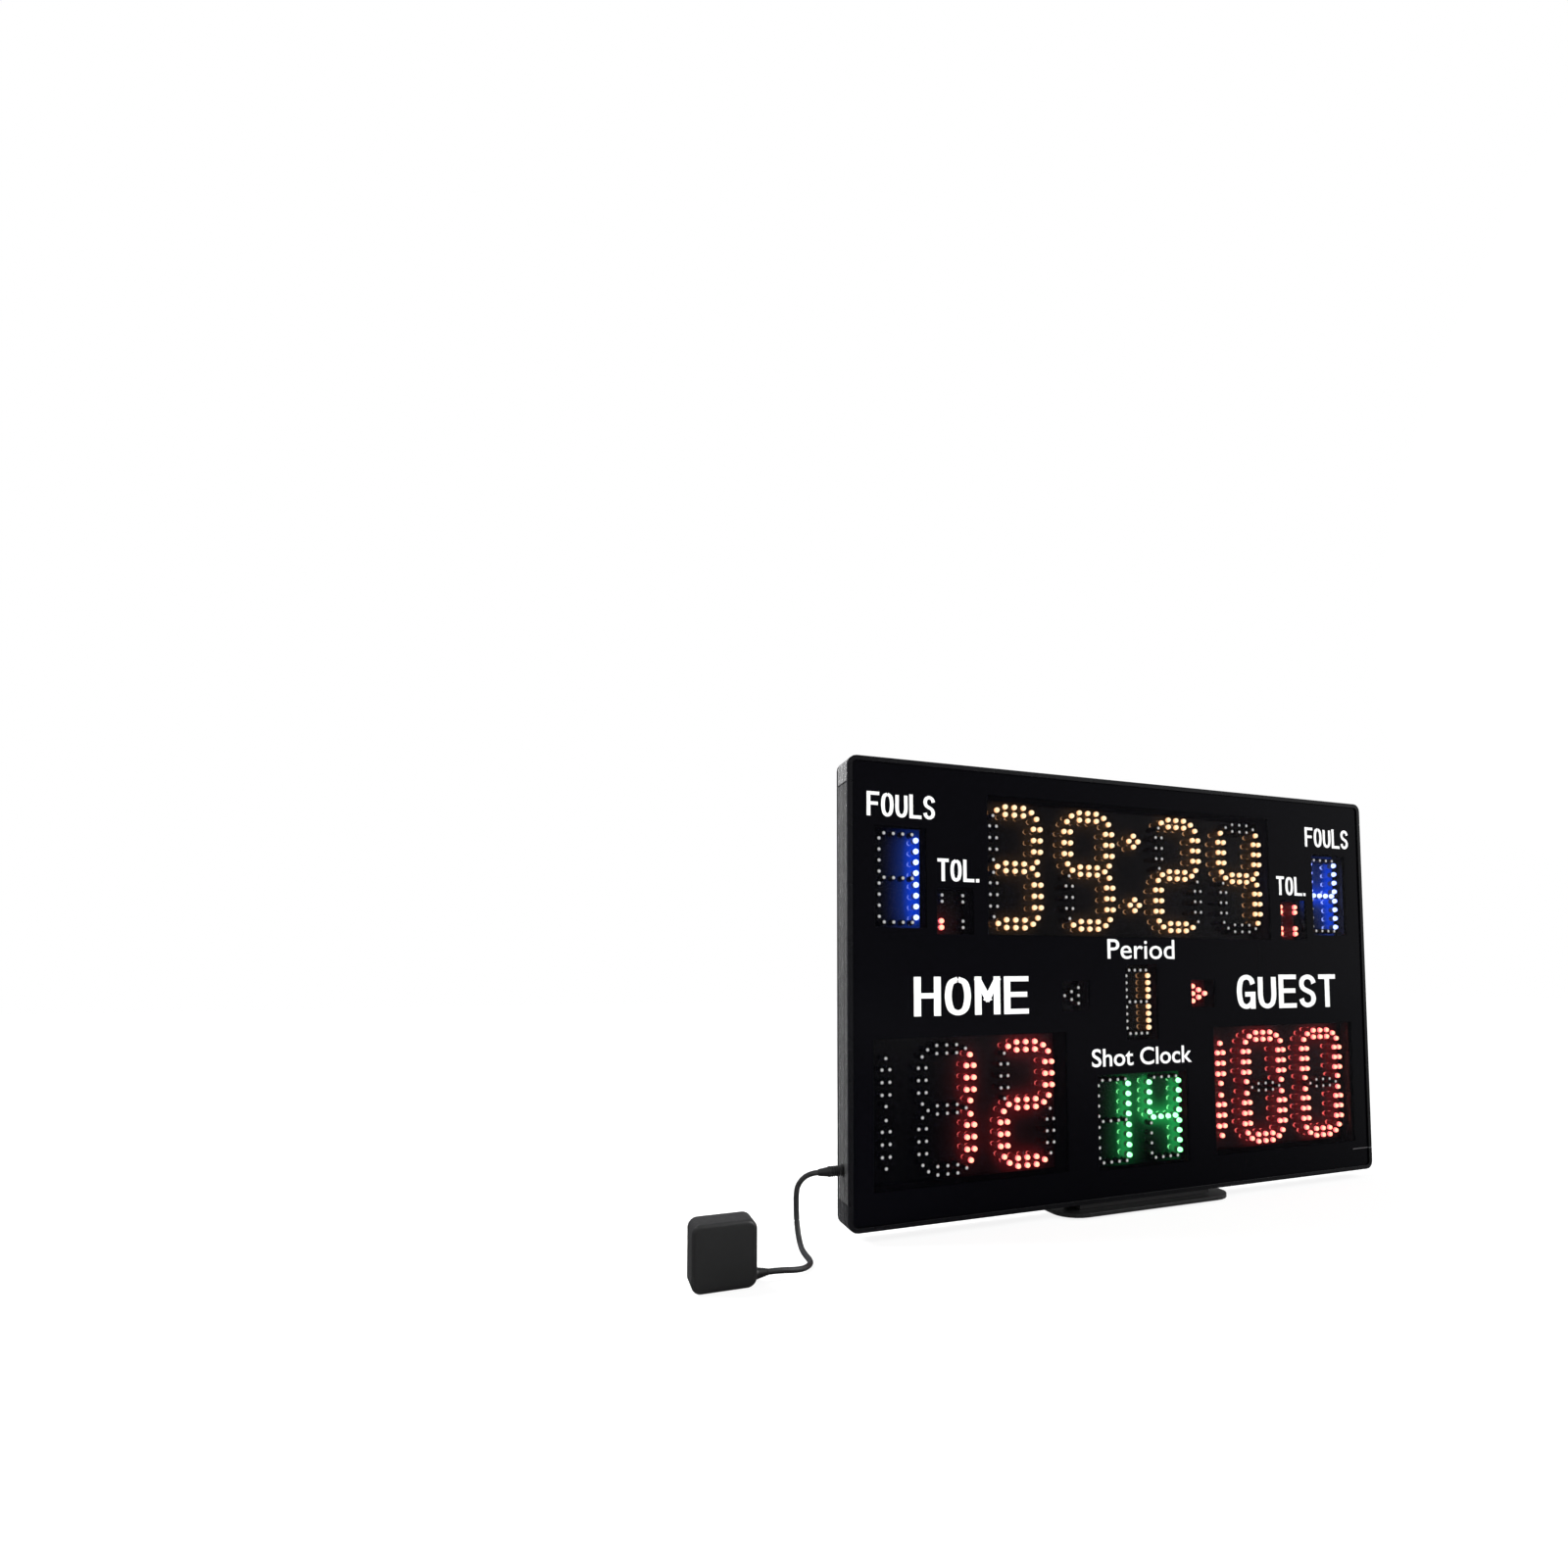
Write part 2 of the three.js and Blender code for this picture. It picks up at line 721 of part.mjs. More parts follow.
// A button with a collar behind its wall, so that it can't fall out
function button(radius, rise, direction, place) {
  const shoulder = housingWall + gap;
  const collar = radius + collarWidth;
  const chamfer = buttonChamfer;
  const profile = [
    [0, -shoulder - collarThickness - buttonStem],
    [radius / 2, -shoulder - collarThickness - buttonStem],
    [radius / 2, -shoulder - collarThickness],
    [collar, -shoulder - collarThickness],
    [collar, -shoulder],
    [radius, -shoulder],
    [radius, rise - chamfer],
    [radius - chamfer, rise],
    [0, rise],
  ];
  return turned(profile, roundSides, direction, place);
}
const blackPlastic = finish(0x151517, 0.45, 0);
addPiece("power_button", button(powerRadius, powerRise, towards.up, powerPlace), blackPlastic);
addPiece("setting_button", button(settingRadius, settingRise, towards.back, settingPlace), blackPlastic);

// Battery cover, flush with the main face, with its indicator hole
const indicatorRadius = 1.6;
const indicatorRise = 8.8;
const coverPlate = sheet(
  roundedRectangle(coverWidth, coverHeight, coverRadius, flangeSteps, coverX, coverZ),
  [],
  coverRear,
  faceY,
);
const indicator = rod(
  indicatorRadius, coverRear - overrun, faceY + overrun, screwSides, towards.back,
  [coverX, 0, coverZ + indicatorRise]);
addPiece("battery_cover", cut(coverPlate, [indicator]), housingColour);

// Cover latch: a tab on two arms that spring back after a push
const latchThickness = 2;
const latchSink = 0.6;
const tabWidth = 36;
const tabHeight = 10;
const armWidth = 3;
const armHeight = 7;
const latchY = faceY - latchSink;
const armTop = recessBottomZ + armHeight;
const tab = block(
  [coverX - tabWidth / 2, latchY - latchThickness, armTop],
  [coverX + tabWidth / 2, latchY, armTop + tabHeight],
);
const arms = [-1, 1].map((side) => {
  const outer = coverX + (side * tabWidth) / 2;
  const inner = outer - side * armWidth;
  const low = [Math.min(outer, inner), latchY - latchThickness, recessBottomZ];
  return block(low, [Math.max(outer, inner), latchY, armTop + tabHeight / 2]);
});
addPiece("cover_latch", join([tab, ...arms]), housingColour);

// Inside the housing: battery pack in the bay and horn behind the louvres
const batteryWidth = 110;
const batteryHeight = 92;
const batteryThickness = 15;
const batteryRadius = 4;
const batteryBottom = bayFloorY + gap;
addPiece(
  "battery_pack",
  sheet(
    roundedRectangle(batteryWidth, batteryHeight, batteryRadius, flangeSteps, coverX, coverZ),
    [],
    batteryBottom,
    batteryBottom + batteryThickness,
  ),
  finish(0x27466b, 0.4, 0),
);

const hornRadius = 20;
const hornLength = 13;
const hornX = 68;
const hornHeight = 188;
const hornProfileShares = [
  [0, 0],
  [0.6, 0],
  [0.6, 0.54],
  [1, 0.85],
  [1, 1],
  [0.85, 1],
  [0.3, 0.73],
  [0, 0.81],
];
const hornProfile = hornProfileShares.map(([shareR, shareY]) => [
  hornRadius * shareR,
  gap + hornLength * shareY,
]);
addPiece(
  "horn",
  turned(hornProfile, roundSides, towards.back, [hornX, rearY, boardBottom + hornHeight]),
  finish(0x202022, 0.6, 0),
);

// Rear panel: painted sheet steel with rounded corners, screw holes and a way through for the wiring
const wireX = 80;
const wireZ = 138;
const wireWidth = 40;
const wireHeight = 24;
const wireRadius = 3;
const rearPanelBlank = sheet(
  boardOutline(windowInset, rearCornerRadius - gap),
  [roundedRectangle(wireWidth, wireHeight, wireRadius, 1, wireX, boardBottom + wireZ)],
  panelFront,
  panelRear,
);
const rearPanelHoles = screwPlaces.map(([x, z]) =>
  rod(panelHoleRadius, panelFront - overrun, rearY, holeSides, towards.back, [x, 0, z]),
);
const pillarScrewHoles = pillarPlaces.map(([x, z]) =>
  rod(pillarScrewRadius + gap, panelFront - overrun, rearY, screwSides, towards.back, [x, 0, z]),
);
addPiece(
  "rear_panel",
  cut(rearPanelBlank, [...rearPanelHoles, ...pillarScrewHoles]),
  finish(0x3b3c3f, 0.6, 0.3),
);

// Control board behind the lamps, on short posts from the rear panel
const controlX = -150;
const controlHeight = 204;
const controlWidth = 100;
const controlTall = 72;
const controlPost = 2.6;
const chipRise = 2.4;
const controlRear = panelFront - gap - controlPost;
const controlFront = controlRear - boardThickness;
const controlZ = boardBottom + controlHeight;
function onControl(shareX, shareZ, width, height, y0, y1) {
  const x = controlX + (shareX * controlWidth) / 2;
  const z = controlZ + (shareZ * controlTall) / 2;
  return block([x - width / 2, y0, z - height / 2], [x + width / 2, y1, z + height / 2]);
}
const chipShares = [
  [-0.45, 0.3, 0.22, 0.3],
  [0.35, 0.4, 0.3, 0.16],
  [0.3, -0.35, 0.14, 0.2],
];
const postShare = 0.88;
const controlBodies = [onControl(0, 0, controlWidth, controlTall, controlFront, controlRear)];
for (const [shareX, shareZ, widthShare, heightShare] of chipShares) {
  const size = [widthShare * controlWidth, heightShare * controlTall];
  const chipTop = controlFront - chipRise;
  controlBodies.push(onControl(shareX, shareZ, ...size, chipTop, controlFront + boardThickness / 2));
}
for (const [shareX, shareZ] of cornerPostShares) {
  const place = [shareX * postShare, shareZ * postShare];
  const from = controlRear - boardThickness / 2;
  controlBodies.push(onControl(...place, postSize, postSize, from, panelFront - gap));
}
addPiece("control_board", join(controlBodies), finish(0x14503a, 0.5, 0));

// Pan-head screws of the rear panel and long screws in the housing's pillars
const blackScrew = finish(0x101011, 0.35, 0.6);
const headRadius = 4;
const headRise = 2.4;
const shankRadius = 1.8;
const shankLength = 7.5;
const headCrown = 0.7;
const panScrewProfile = [
  [0, -shankLength],
  [shankRadius, -shankLength],
  [shankRadius, 0],
  [headRadius, 0],
  [headRadius - headCrown, headRise - headCrown / 2],
  [0, headRise],
];
screwPlaces.forEach(([x, z], i) => {
  const body = turned(panScrewProfile, screwSides, towards.back, [x, rearY, z]);
  addPiece(`panel_screw_${i + 1}`, body, blackScrew);
});
const sunkHeadRadius = 2.4;
const sunkHeadRise = 2;
const sunkTip = 1.2;
const sunkScrewProfile = [
  [0, panelFront - sunkTip],
  [pillarScrewRadius, panelFront - sunkTip],
  [pillarScrewRadius, rearY + pillarSeat],
  [sunkHeadRadius, rearY + pillarSeat],
  [sunkHeadRadius, rearY + pillarSeat + sunkHeadRise],
  [0, rearY + pillarSeat + sunkHeadRise],
];
pillarPlaces.forEach(([x, z], i) => {
  const body = turned(sunkScrewProfile, screwSides, towards.back, [x, 0, z]);
  addPiece(`housing_screw_${i + 1}`, body, blackScrew);
});

// Table foot: a black steel plate, a riser under the bottom rail, two screws and two rubber strips
const plateWidth = 196;
const plateFrontRadius = 24;
const plateRearRadius = 14;
const plateSteps = 6;
const riserWidth = 150;
const riserInset = 2;
const footHeadRadius = 4;
const footHeadThickness = 1.8;
const blackSteel = finish(0x141416, 0.4, 0.5);

function plateOutline() {
  const half = plateWidth / 2;
  const front = frontY - footFront;
  const rear = rearY + footRear;
  const corners = [
    [half - plateRearRadius, rear - plateRearRadius, plateRearRadius],
    [plateRearRadius - half, rear - plateRearRadius, plateRearRadius],
    [plateFrontRadius - half, front + plateFrontRadius, plateFrontRadius],
    [half - plateFrontRadius, front + plateFrontRadius, plateFrontRadius],
  ];
  return corners.flatMap(([x, y, radius], quarter) =>
    Array.from({ length: plateSteps + 1 }, (_, step) => {
      const angle = ((quarter + step / plateSteps) * Math.PI) / 2;
      return [x + radius * Math.cos(angle), y + radius * Math.sin(angle)];
    }),
  );
}
const footScrewPlaces = [-footScrewX, footScrewX].map((x) => [x, footScrewY, 0]);
const plateHoles = footScrewPlaces.flatMap((place) => [
  rod(footHoleRadius, 0, riserBottom, screwSides, towards.up, place),
  rod(footHeadRadius + gap, 0, plateBottom + footHeadThickness, screwSides, towards.up, place),
]);
const footPlate = column(plateOutline(), plateBottom, plateBottom + plateThickness);
addPiece("foot_plate", cut(footPlate, plateHoles), blackSteel);

const riserHoles = footScrewPlaces.map((place) =>
  rod(footHoleRadius, 0, boardBottom, screwSides, towards.up, place),
);
const riser = block(
  [-riserWidth / 2, frontY + riserInset, riserBottom],
  [riserWidth / 2, rearY - riserInset, riserBottom + riserThickness],
);
addPiece("foot_riser", cut(riser, riserHoles), blackSteel);

const footScrewProfile = [
  [0, plateBottom],
  [footHeadRadius, plateBottom],
  [footHeadRadius, plateBottom + footHeadThickness - gap],
  [footScrewRadius, plateBottom + footHeadThickness - gap],
  [footScrewRadius, boardBottom + footScrewGrip],
  [0, boardBottom + footScrewGrip],
];
footScrewPlaces.forEach((place, i) => {
  addPiece(`foot_screw_${i + 1}`, turned(footScrewProfile, screwSides, towards.up, place), blackScrew);
});

const stripWidth = 12;
const stripRadius = 5.5;
const stripInset = 8;
const stripFrontInset = 11;
const stripRearInset = 8;
const rubber = finish(0x1a1a1a, 0.8, 0);
for (const [side, name] of [
  [-1, "left_rubber_strip"],
  [1, "right_rubber_strip"],
]) {
  const x = side * (plateWidth / 2 - stripInset - stripWidth / 2);
  const length = footDepth - stripFrontInset - stripRearInset;
  const middle = (stripFrontInset - stripRearInset) / 2;
  const strip = roundedRectangle(stripWidth, length, stripRadius, flangeSteps, x, middle);
  const outline = strip.map(({ x: along, y: back }) => [along, back]);
  addPiece(name, column(outline, 0, padThickness), rubber);
}

// Supply inlet: a flush socket with a centre pin, held by a collar behind the rail
const socketRadius = 2.9;
const pinRadius = 1;
const inletCollar = 1.3;
const collarBack = wall + gap;
const socketDepth = 10;
const inletCollarThickness = 1.5;
const inletBody = turned(
  [
    [0, -inletLength],
    [inletRadius, -inletLength],
    [inletRadius, -collarBack - inletCollarThickness],
    [inletRadius + inletCollar, -collarBack - inletCollarThickness],
    [inletRadius + inletCollar, -collarBack],
    [inletRadius, -collarBack],
    [inletRadius, -gap],
    [0, -gap],
  ],
  roundSides,
  towards.left,
  inletPlace,
);
const socket = rod(socketRadius, -socketDepth, overrun, roundSides, towards.left, inletPlace);
const centrePin = rod(pinRadius, -inletLength, -overrun, screwSides, towards.left, inletPlace);
addPiece("supply_inlet", cut(inletBody, [socket]).add(centrePin), blackPlastic);

// Plug of the supply lead: barrel in the inlet, moulded grip and tapered strain relief
const leadRadius = 2.25;
const barrelRadius = 2.5;
const barrelBore = 1.35;
const barrelLength = 9;
const gripRadius = 4.5;
const gripNeckRadius = 4;
const gripShoulder = 1.5;
const gripLength = 13;
const reliefLength = 8;
const reliefRadius = 2.9;
const leadEndX = boardLeft - gripLength - reliefLength - gap;
const plugBlank = turned(
  [
    [0, -barrelLength],
    [barrelRadius, -barrelLength],
    [barrelRadius, gap],
    [gripNeckRadius, gap],
    [gripRadius, gap + gripShoulder],
    [gripRadius, gripLength - gripShoulder],
    [gripNeckRadius, gripLength],
    [reliefRadius, gripLength + reliefLength],
    [0, gripLength + reliefLength],
  ],
  roundSides,
  towards.left,
  inletPlace,
);
const plugBore = rod(barrelBore, -barrelLength - overrun, 0, screwSides, towards.left, inletPlace);
addPiece("lead_plug", cut(plugBlank, [plugBore]), blackPlastic);

// Supply lead: leaves the plug level, drops to the table, turns forward and then left to the adaptor
const leadRoute = [
  [leadEndX, -16.5, 58.6],
  [-324, -16.5, 58.4],
  [-329.5, -16.5, 56.9],
  [-334.2, -16.5, 53.6],
  [-337.3, -16.6, 48.6],
  [-338.4, -16.8, 42],
  [-338.5, -17, 34.5],
  [-338.5, -17.6, 27],
  [-338.5, -19.8, 19.4],
  [-338.5, -23.6, 12.6],
  [-338.5, -28.8, 7.4],
  [-338.5, -35.2, 4.1],
  [-338.5, -42.6, 2.8],
  [-338.6, -51, 2.6],
  [-338.8, -59.5, 2.6],
  [-340.2, -67, 2.6],
  [-343.8, -73.4, 2.7],
  [-349.3, -78.1, 3],
  [-356.2, -80.6, 3.8],
  [-363.5, -81.3, 4.8],
  [-370.5, -81.4, 5.3],
  [-376, -81.4, 5.4],
];
const leadSides = 8;
const leadSteps = 20;
const leadCurve = new THREE.CatmullRomCurve3(leadRoute.map((point) => new THREE.Vector3(...point)));
const leadSection = new THREE.Shape(
  Array.from({ length: leadSides }, (_, i) => {
    const angle = (i / leadSides) * 2 * Math.PI;
    return new THREE.Vector2(leadRadius * Math.cos(angle), leadRadius * Math.sin(angle));
  }),
);
const leadTube = new THREE.ExtrudeGeometry(leadSection, { steps: leadSteps, extrudePath: leadCurve });
addPiece("supply_lead", solid(leadTube), finish(0x111112, 0.5, 0));

// Plug-top adaptor, standing on its narrow side on the table with its pins to the back
const adaptorWidth = 46;
const adaptorHeight = 48;
const adaptorDepth = 28;
const adaptorRadius = 7;
const adaptorBevel = 2;
const adaptorSteps = 4;
const adaptorRelief = 10;
const adaptorReliefRoot = 2;
const adaptorReliefRadius = 4.2;
const pinSpacing = 12.7;
const pinLength = 17;
const pinWidth = 6.3;
const pinThickness = 1.5;
const [leadX, leadY, leadZ] = leadRoute[leadRoute.length - 1];
const adaptorRight = leadX - gap - adaptorRelief;
const adaptorX = adaptorRight - adaptorWidth / 2;
const adaptorFront = leadY - adaptorDepth / 2;
const adaptorZ = adaptorHeight / 2;

const bevelBoth = 2 * adaptorBevel;
const adaptorShape = new THREE.Shape(
  roundedRectangle(
    adaptorWidth - bevelBoth,
    adaptorHeight - bevelBoth,
    adaptorRadius - adaptorBevel,
    adaptorSteps,
    adaptorX,
    adaptorZ,
  ),
);
const adaptorBox = new THREE.ExtrudeGeometry(adaptorShape, {
  depth: adaptorDepth - bevelBoth,
  bevelThickness: adaptorBevel,
  bevelSize: adaptorBevel,
  bevelSegments: 2,
});
adaptorBox.rotateX(Math.PI / 2);
adaptorBox.translate(0, adaptorFront + adaptorDepth - adaptorBevel, 0);
const relief = turned(
  [
    [0, -overrun],
    [adaptorReliefRadius, -overrun],
    [adaptorReliefRadius, adaptorReliefRoot],
    [reliefRadius, adaptorRelief],
    [0, adaptorRelief],
  ],
  roundSides,
  towards.right,
  [adaptorRight, leadY, leadZ],
);
const pins = [-1, 1].map((side) => {
  const x = adaptorX + (side * pinSpacing) / 2;
  const back = adaptorFront + adaptorDepth;
  return block(
    [x - pinThickness / 2, back - overrun, adaptorZ - pinWidth / 2],
    [x + pinThickness / 2, back + pinLength, adaptorZ + pinWidth / 2],
  );
});
addPiece("supply_adaptor", join([solid(adaptorBox), relief, ...pins]), blackPlastic);

export default part;
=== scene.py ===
import math

import bpy
import numpy as np
from mathutils import Matrix, Vector


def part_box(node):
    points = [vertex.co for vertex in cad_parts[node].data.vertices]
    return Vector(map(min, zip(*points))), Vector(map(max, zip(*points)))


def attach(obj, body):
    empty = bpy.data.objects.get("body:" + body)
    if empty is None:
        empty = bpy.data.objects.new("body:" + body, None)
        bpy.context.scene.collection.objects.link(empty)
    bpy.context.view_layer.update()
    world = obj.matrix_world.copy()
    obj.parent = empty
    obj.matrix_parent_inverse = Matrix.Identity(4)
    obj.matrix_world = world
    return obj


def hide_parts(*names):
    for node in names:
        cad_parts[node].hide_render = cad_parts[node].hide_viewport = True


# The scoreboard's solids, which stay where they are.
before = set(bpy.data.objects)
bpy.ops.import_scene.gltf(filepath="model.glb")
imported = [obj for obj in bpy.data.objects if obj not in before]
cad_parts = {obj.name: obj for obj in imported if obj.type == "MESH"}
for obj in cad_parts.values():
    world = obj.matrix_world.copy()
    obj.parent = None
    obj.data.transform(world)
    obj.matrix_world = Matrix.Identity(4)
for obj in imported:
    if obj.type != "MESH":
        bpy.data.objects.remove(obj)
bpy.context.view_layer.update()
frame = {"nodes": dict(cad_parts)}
nodes = frame["nodes"]
scene = bpy.context.scene
MM = 0.001

# Camera, placed as the photograph's front view was taken: low, close and well to the left of the board.
# The lens is shifted less than an exact fit takes, so that views from other sides keep the board.
camera_place = Vector((-515.35, -711.98, 217.63)) * MM
camera_sight = Vector((0.38435, 0.92137, 0.05791)).normalized()
camera_up = Vector((-0.01527, -0.05637, 0.99829))
camera_focus_px = 867.0
camera_axis_px = (940, 950)
image_px = 1600
sensor_mm = 36

camera_data = bpy.data.cameras.new("camera")
camera_data.sensor_width = sensor_mm
camera_data.lens = camera_focus_px * sensor_mm / image_px
camera_data.shift_x = 0.5 - camera_axis_px[0] / image_px
camera_data.shift_y = camera_axis_px[1] / image_px - 0.5
camera_data.clip_start = 0.02
camera_data.clip_end = 50
camera_right = camera_sight.cross(camera_up).normalized()
camera_upright = camera_right.cross(camera_sight)
camera_turn = Matrix((camera_right, camera_upright, -camera_sight)).transposed().to_4x4()
camera = bpy.data.objects.new("camera", camera_data)
camera.matrix_world = Matrix.Translation(camera_place) @ camera_turn
scene.collection.objects.link(camera)
scene.camera = camera


# Node trees of the materials and the room. Sums on sockets add Math nodes, and Tree.node every other.
class Socket:
    """An output socket of a shader node that can be used in sums with numbers and other sockets."""

    def __init__(self, nodes, link):
        self.nodes = nodes
        self.link = link

    def maths(self, operation, *others):
        """A Math node on this socket and the others."""
        return self.nodes.node("Math", {"operation": operation}, dict(enumerate((self, *others))))

    def __add__(self, other):
        return self.maths("ADD", other)

    def __sub__(self, other):
        return self.maths("SUBTRACT", other)

    def __rsub__(self, other):
        return self * -1 + other

    def __mul__(self, other):
        return self.maths("MULTIPLY", other)

    def __lt__(self, other):
        return self.maths("LESS_THAN", other)

    def __gt__(self, other):
        return self.maths("GREATER_THAN", other)

    __radd__ = __add__
    __rmul__ = __mul__

    def size(self):
        return self.maths("ABSOLUTE")

    def least(self, other):
        return self.maths("MINIMUM", other)

    def most(self, other):
        return self.maths("MAXIMUM", other)

    def step(self, low, high):
        """0 below low and 1 above high, with a smooth rise between them."""
        smooth = {"interpolation_type": "SMOOTHSTEP"}
        return self.nodes.node("MapRange", smooth, {0: self, 1: low, 2: high})


class Tree:
    """A node tree whose nodes are all added by one method."""

    def __init__(self, tree):
        self.tree = tree

    def plug(self, socket, value):
        """Links another node's socket to this one, or sets its value."""
        if isinstance(value, Socket):
            self.tree.links.new(value.link, socket)
        elif socket.type == "RGBA" and len(value) == 3:
            socket.default_value = (*value, 1)
        else:
            socket.default_value = value

    def node(self, kind, settings=None, sockets=None, output=0):
        """Adds a node of this kind, makes its settings, then fills or links its sockets."""
        made = self.tree.nodes.new("ShaderNode" + kind)
        for key, value in (settings or {}).items():
            if key == "stops":
                while len(made.color_ramp.elements) < len(value):
                    made.color_ramp.elements.new(1)
                for element, (place, color) in zip(made.color_ramp.elements, value):
                    element.position = place
                    element.color = (*color, 1)
            else:
                setattr(made, key, value)
        for key, value in (sockets or {}).items():
            self.plug(made.inputs[key], value)
        return Socket(self, made.outputs[output])


class Finish(Tree):
    """A node material round one Principled shader."""

    def __init__(self, name, **sockets):
        self.material = bpy.data.materials.new(name)
        self.material.use_nodes = True
        super().__init__(self.material.node_tree)
        self.shader = self.tree.nodes["Principled BSDF"]
        for key, value in sockets.items():
            self.plug(self.shader.inputs[key.replace("_", " ").title().replace("Ior", "IOR")], value)

    def place(self):
        return self.node("TexCoord", output="Object")

    def axes(self):
        """The three object coordinates in millimetres."""
        spread = {"operation": "SCALE"}
        scaled = self.node("VectorMath", spread, {0: self.place(), "Scale": 1 / MM})
        return [self.node("SeparateXYZ", None, {0: scaled}, axis) for axis in range(3)]

    def noise(self, per_mm, stretch=(1, 1, 1), detail=2, roughness=0.5):
        """Noise with this many cells to the millimetre, stretched along the axes."""
        scale = tuple(per_mm * share / MM for share in stretch)
        mapped = self.node("Mapping", None, {"Vector": self.place(), "Scale": scale})
        sockets = {"Vector": mapped, "Scale": 1.0, "Detail": detail, "Roughness": roughness}
        return self.node("TexNoise", None, sockets)

    def mix(self, share, first, second):
        return self.node("Mix", {"data_type": "RGBA"}, {0: share, 6: first, 7: second}, 2)

    def color(self, value):
        self.plug(self.shader.inputs["Base Color"], value)

    def roughness(self, value):
        self.plug(self.shader.inputs["Roughness"], value)

    def relief(self, height, depth_mm, edge_mm=0.0):
        """Bump of this depth, over edges that are rounded to this radius."""
        sockets = {"Height": height, "Distance": depth_mm * MM, "Strength": 1.0}
        if edge_mm:
            sockets["Normal"] = self.node("Bevel", {"samples": 4}, {"Radius": edge_mm * MM})
        self.plug(self.shader.inputs["Normal"], self.node("Bump", None, sockets))

    def on(self, *names):
        """Gives this finish to carried-over solids."""
        for name in names:
            for slot in nodes[name].material_slots:
                slot.material = self.material


def skinned(name, rings, finish):
    """A closed smooth surface over an array of rings of points, with a face at either end."""
    count, around = rings.shape[:2]
    points = rings.reshape(-1, 3)
    ring, step = np.meshgrid(np.arange(count - 1), np.arange(around), indexing="ij")
    here = ring * around + step
    beside = ring * around + (step + 1) % around
    quads = np.stack([here, beside, beside + around, here + around], -1).reshape(-1, 4)
    faces = quads.tolist()
    faces.append(list(range(around))[::-1])
    faces.append(list(range((count - 1) * around, count * around)))
    mesh = bpy.data.meshes.new(name)
    mesh.from_pydata((points * MM).tolist(), [], faces)
    mesh.validate()
    return finished(name, mesh, finish)


def finished(name, mesh, finish, smooth=True, sharp_degrees=40):
    """Links a mesh as a piece with its material, and makes it ride on the board."""
    mesh.shade_smooth() if smooth else mesh.shade_flat()
    piece = bpy.data.objects.new(name, mesh)
    mesh.materials.append(finish.material)
    scene.collection.objects.link(piece)
    if smooth:
        mesh.set_sharp_from_angle(angle=math.radians(sharp_degrees))
    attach(piece, "board")
    return piece


# Supply lead: a round jacketed cable from the plug down to the table and across to the adaptor. It is
# extruded in soft black plastic, and its route repeats that of its solid.
lead_diameter = 4.5
lead_route = [
    (-319.8, -16.5, 58.6),
    (-324, -16.5, 58.4),
    (-329.5, -16.5, 56.9),
    (-334.2, -16.5, 53.6),
    (-337.3, -16.6, 48.6),
    (-338.4, -16.8, 42),
    (-338.5, -17, 34.5),
    (-338.5, -17.6, 27),
    (-338.5, -19.8, 19.4),
    (-338.5, -23.6, 12.6),
    (-338.5, -28.8, 7.4),
    (-338.5, -35.2, 4.1),
    (-338.5, -42.6, 2.8),
    (-338.6, -51, 2.6),
    (-338.8, -59.5, 2.6),
    (-340.2, -67, 2.6),
    (-343.8, -73.4, 2.7),
    (-349.3, -78.1, 3),
    (-356.2, -80.6, 3.8),
    (-363.5, -81.3, 4.8),
    (-370.5, -81.4, 5.3),
    (-376, -81.4, 5.4),
]
lead_steps = 160

jacket = Finish("lead_jacket", base_color=(0.008, 0.008, 0.009))
jacket.roughness(0.4 + 0.15 * jacket.noise(0.8))
jacket.relief(jacket.noise(2.5), 0.02)


def along_route(route, steps):
    """Points of a Catmull-Rom curve through the route, with its directions."""
    route = np.asarray(route, float)
    padded = np.vstack([2 * route[0] - route[1], route, 2 * route[-1] - route[-2]])
    place = np.linspace(0, len(route) - 1, steps)
    leg = np.minimum(place.astype(int), len(route) - 2)
    t = (place - leg)[:, None]
    a, b, c, d = (padded[leg + k] for k in range(4))
    square = (2 * a - 5 * b + 4 * c - d) * t**2
    cube = (3 * b - a - 3 * c + d) * t**3
    points = 0.5 * (2 * b + (c - a) * t + square + cube)
    ways = np.gradient(points, axis=0)
    return points, ways / np.linalg.norm(ways, axis=1, keepdims=True)


def tube(name, route, radius, finish, steps, around=20, nearly_up=(0.02, 0.31, 1.0)):
    """A round tube along a route. Its sections are square to the route, with one side nearly level."""
    points, ways = along_route(route, steps)
    level = np.cross(ways, nearly_up)
    level /= np.linalg.norm(level, axis=1, keepdims=True)
    upright = np.cross(level, ways)
    angle = np.linspace(0, 2 * np.pi, around, endpoint=False)
    ring = level[:, None] * np.cos(angle)[:, None] + upright[:, None] * np.sin(angle)[:, None]
    return skinned(name, points[:, None] + radius * ring, finish)


lead = tube("lead_jacket_tube", lead_route, lead_diameter / 2, jacket, lead_steps)
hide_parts("supply_lead")


# Adaptor and plug of the lead: smooth black mouldings with soft edges. The adaptor stands on its
# narrow side with its two flat pins to the back; the plug is turned round in the mould.
def outline(width, height, radius, steps=10):
    """A rounded rectangle as an array of points, anticlockwise from the right side."""
    quarter = np.repeat(np.arange(4), steps + 1)
    angle = (quarter + np.tile(np.arange(steps + 1), 4) / steps) * np.pi / 2
    across = np.where((quarter == 0) | (quarter == 3), 1, -1) * (width / 2 - radius)
    up = np.where(quarter < 2, 1, -1) * (height / 2 - radius)
    return np.stack([across + radius * np.cos(angle), up + radius * np.sin(angle)], -1)


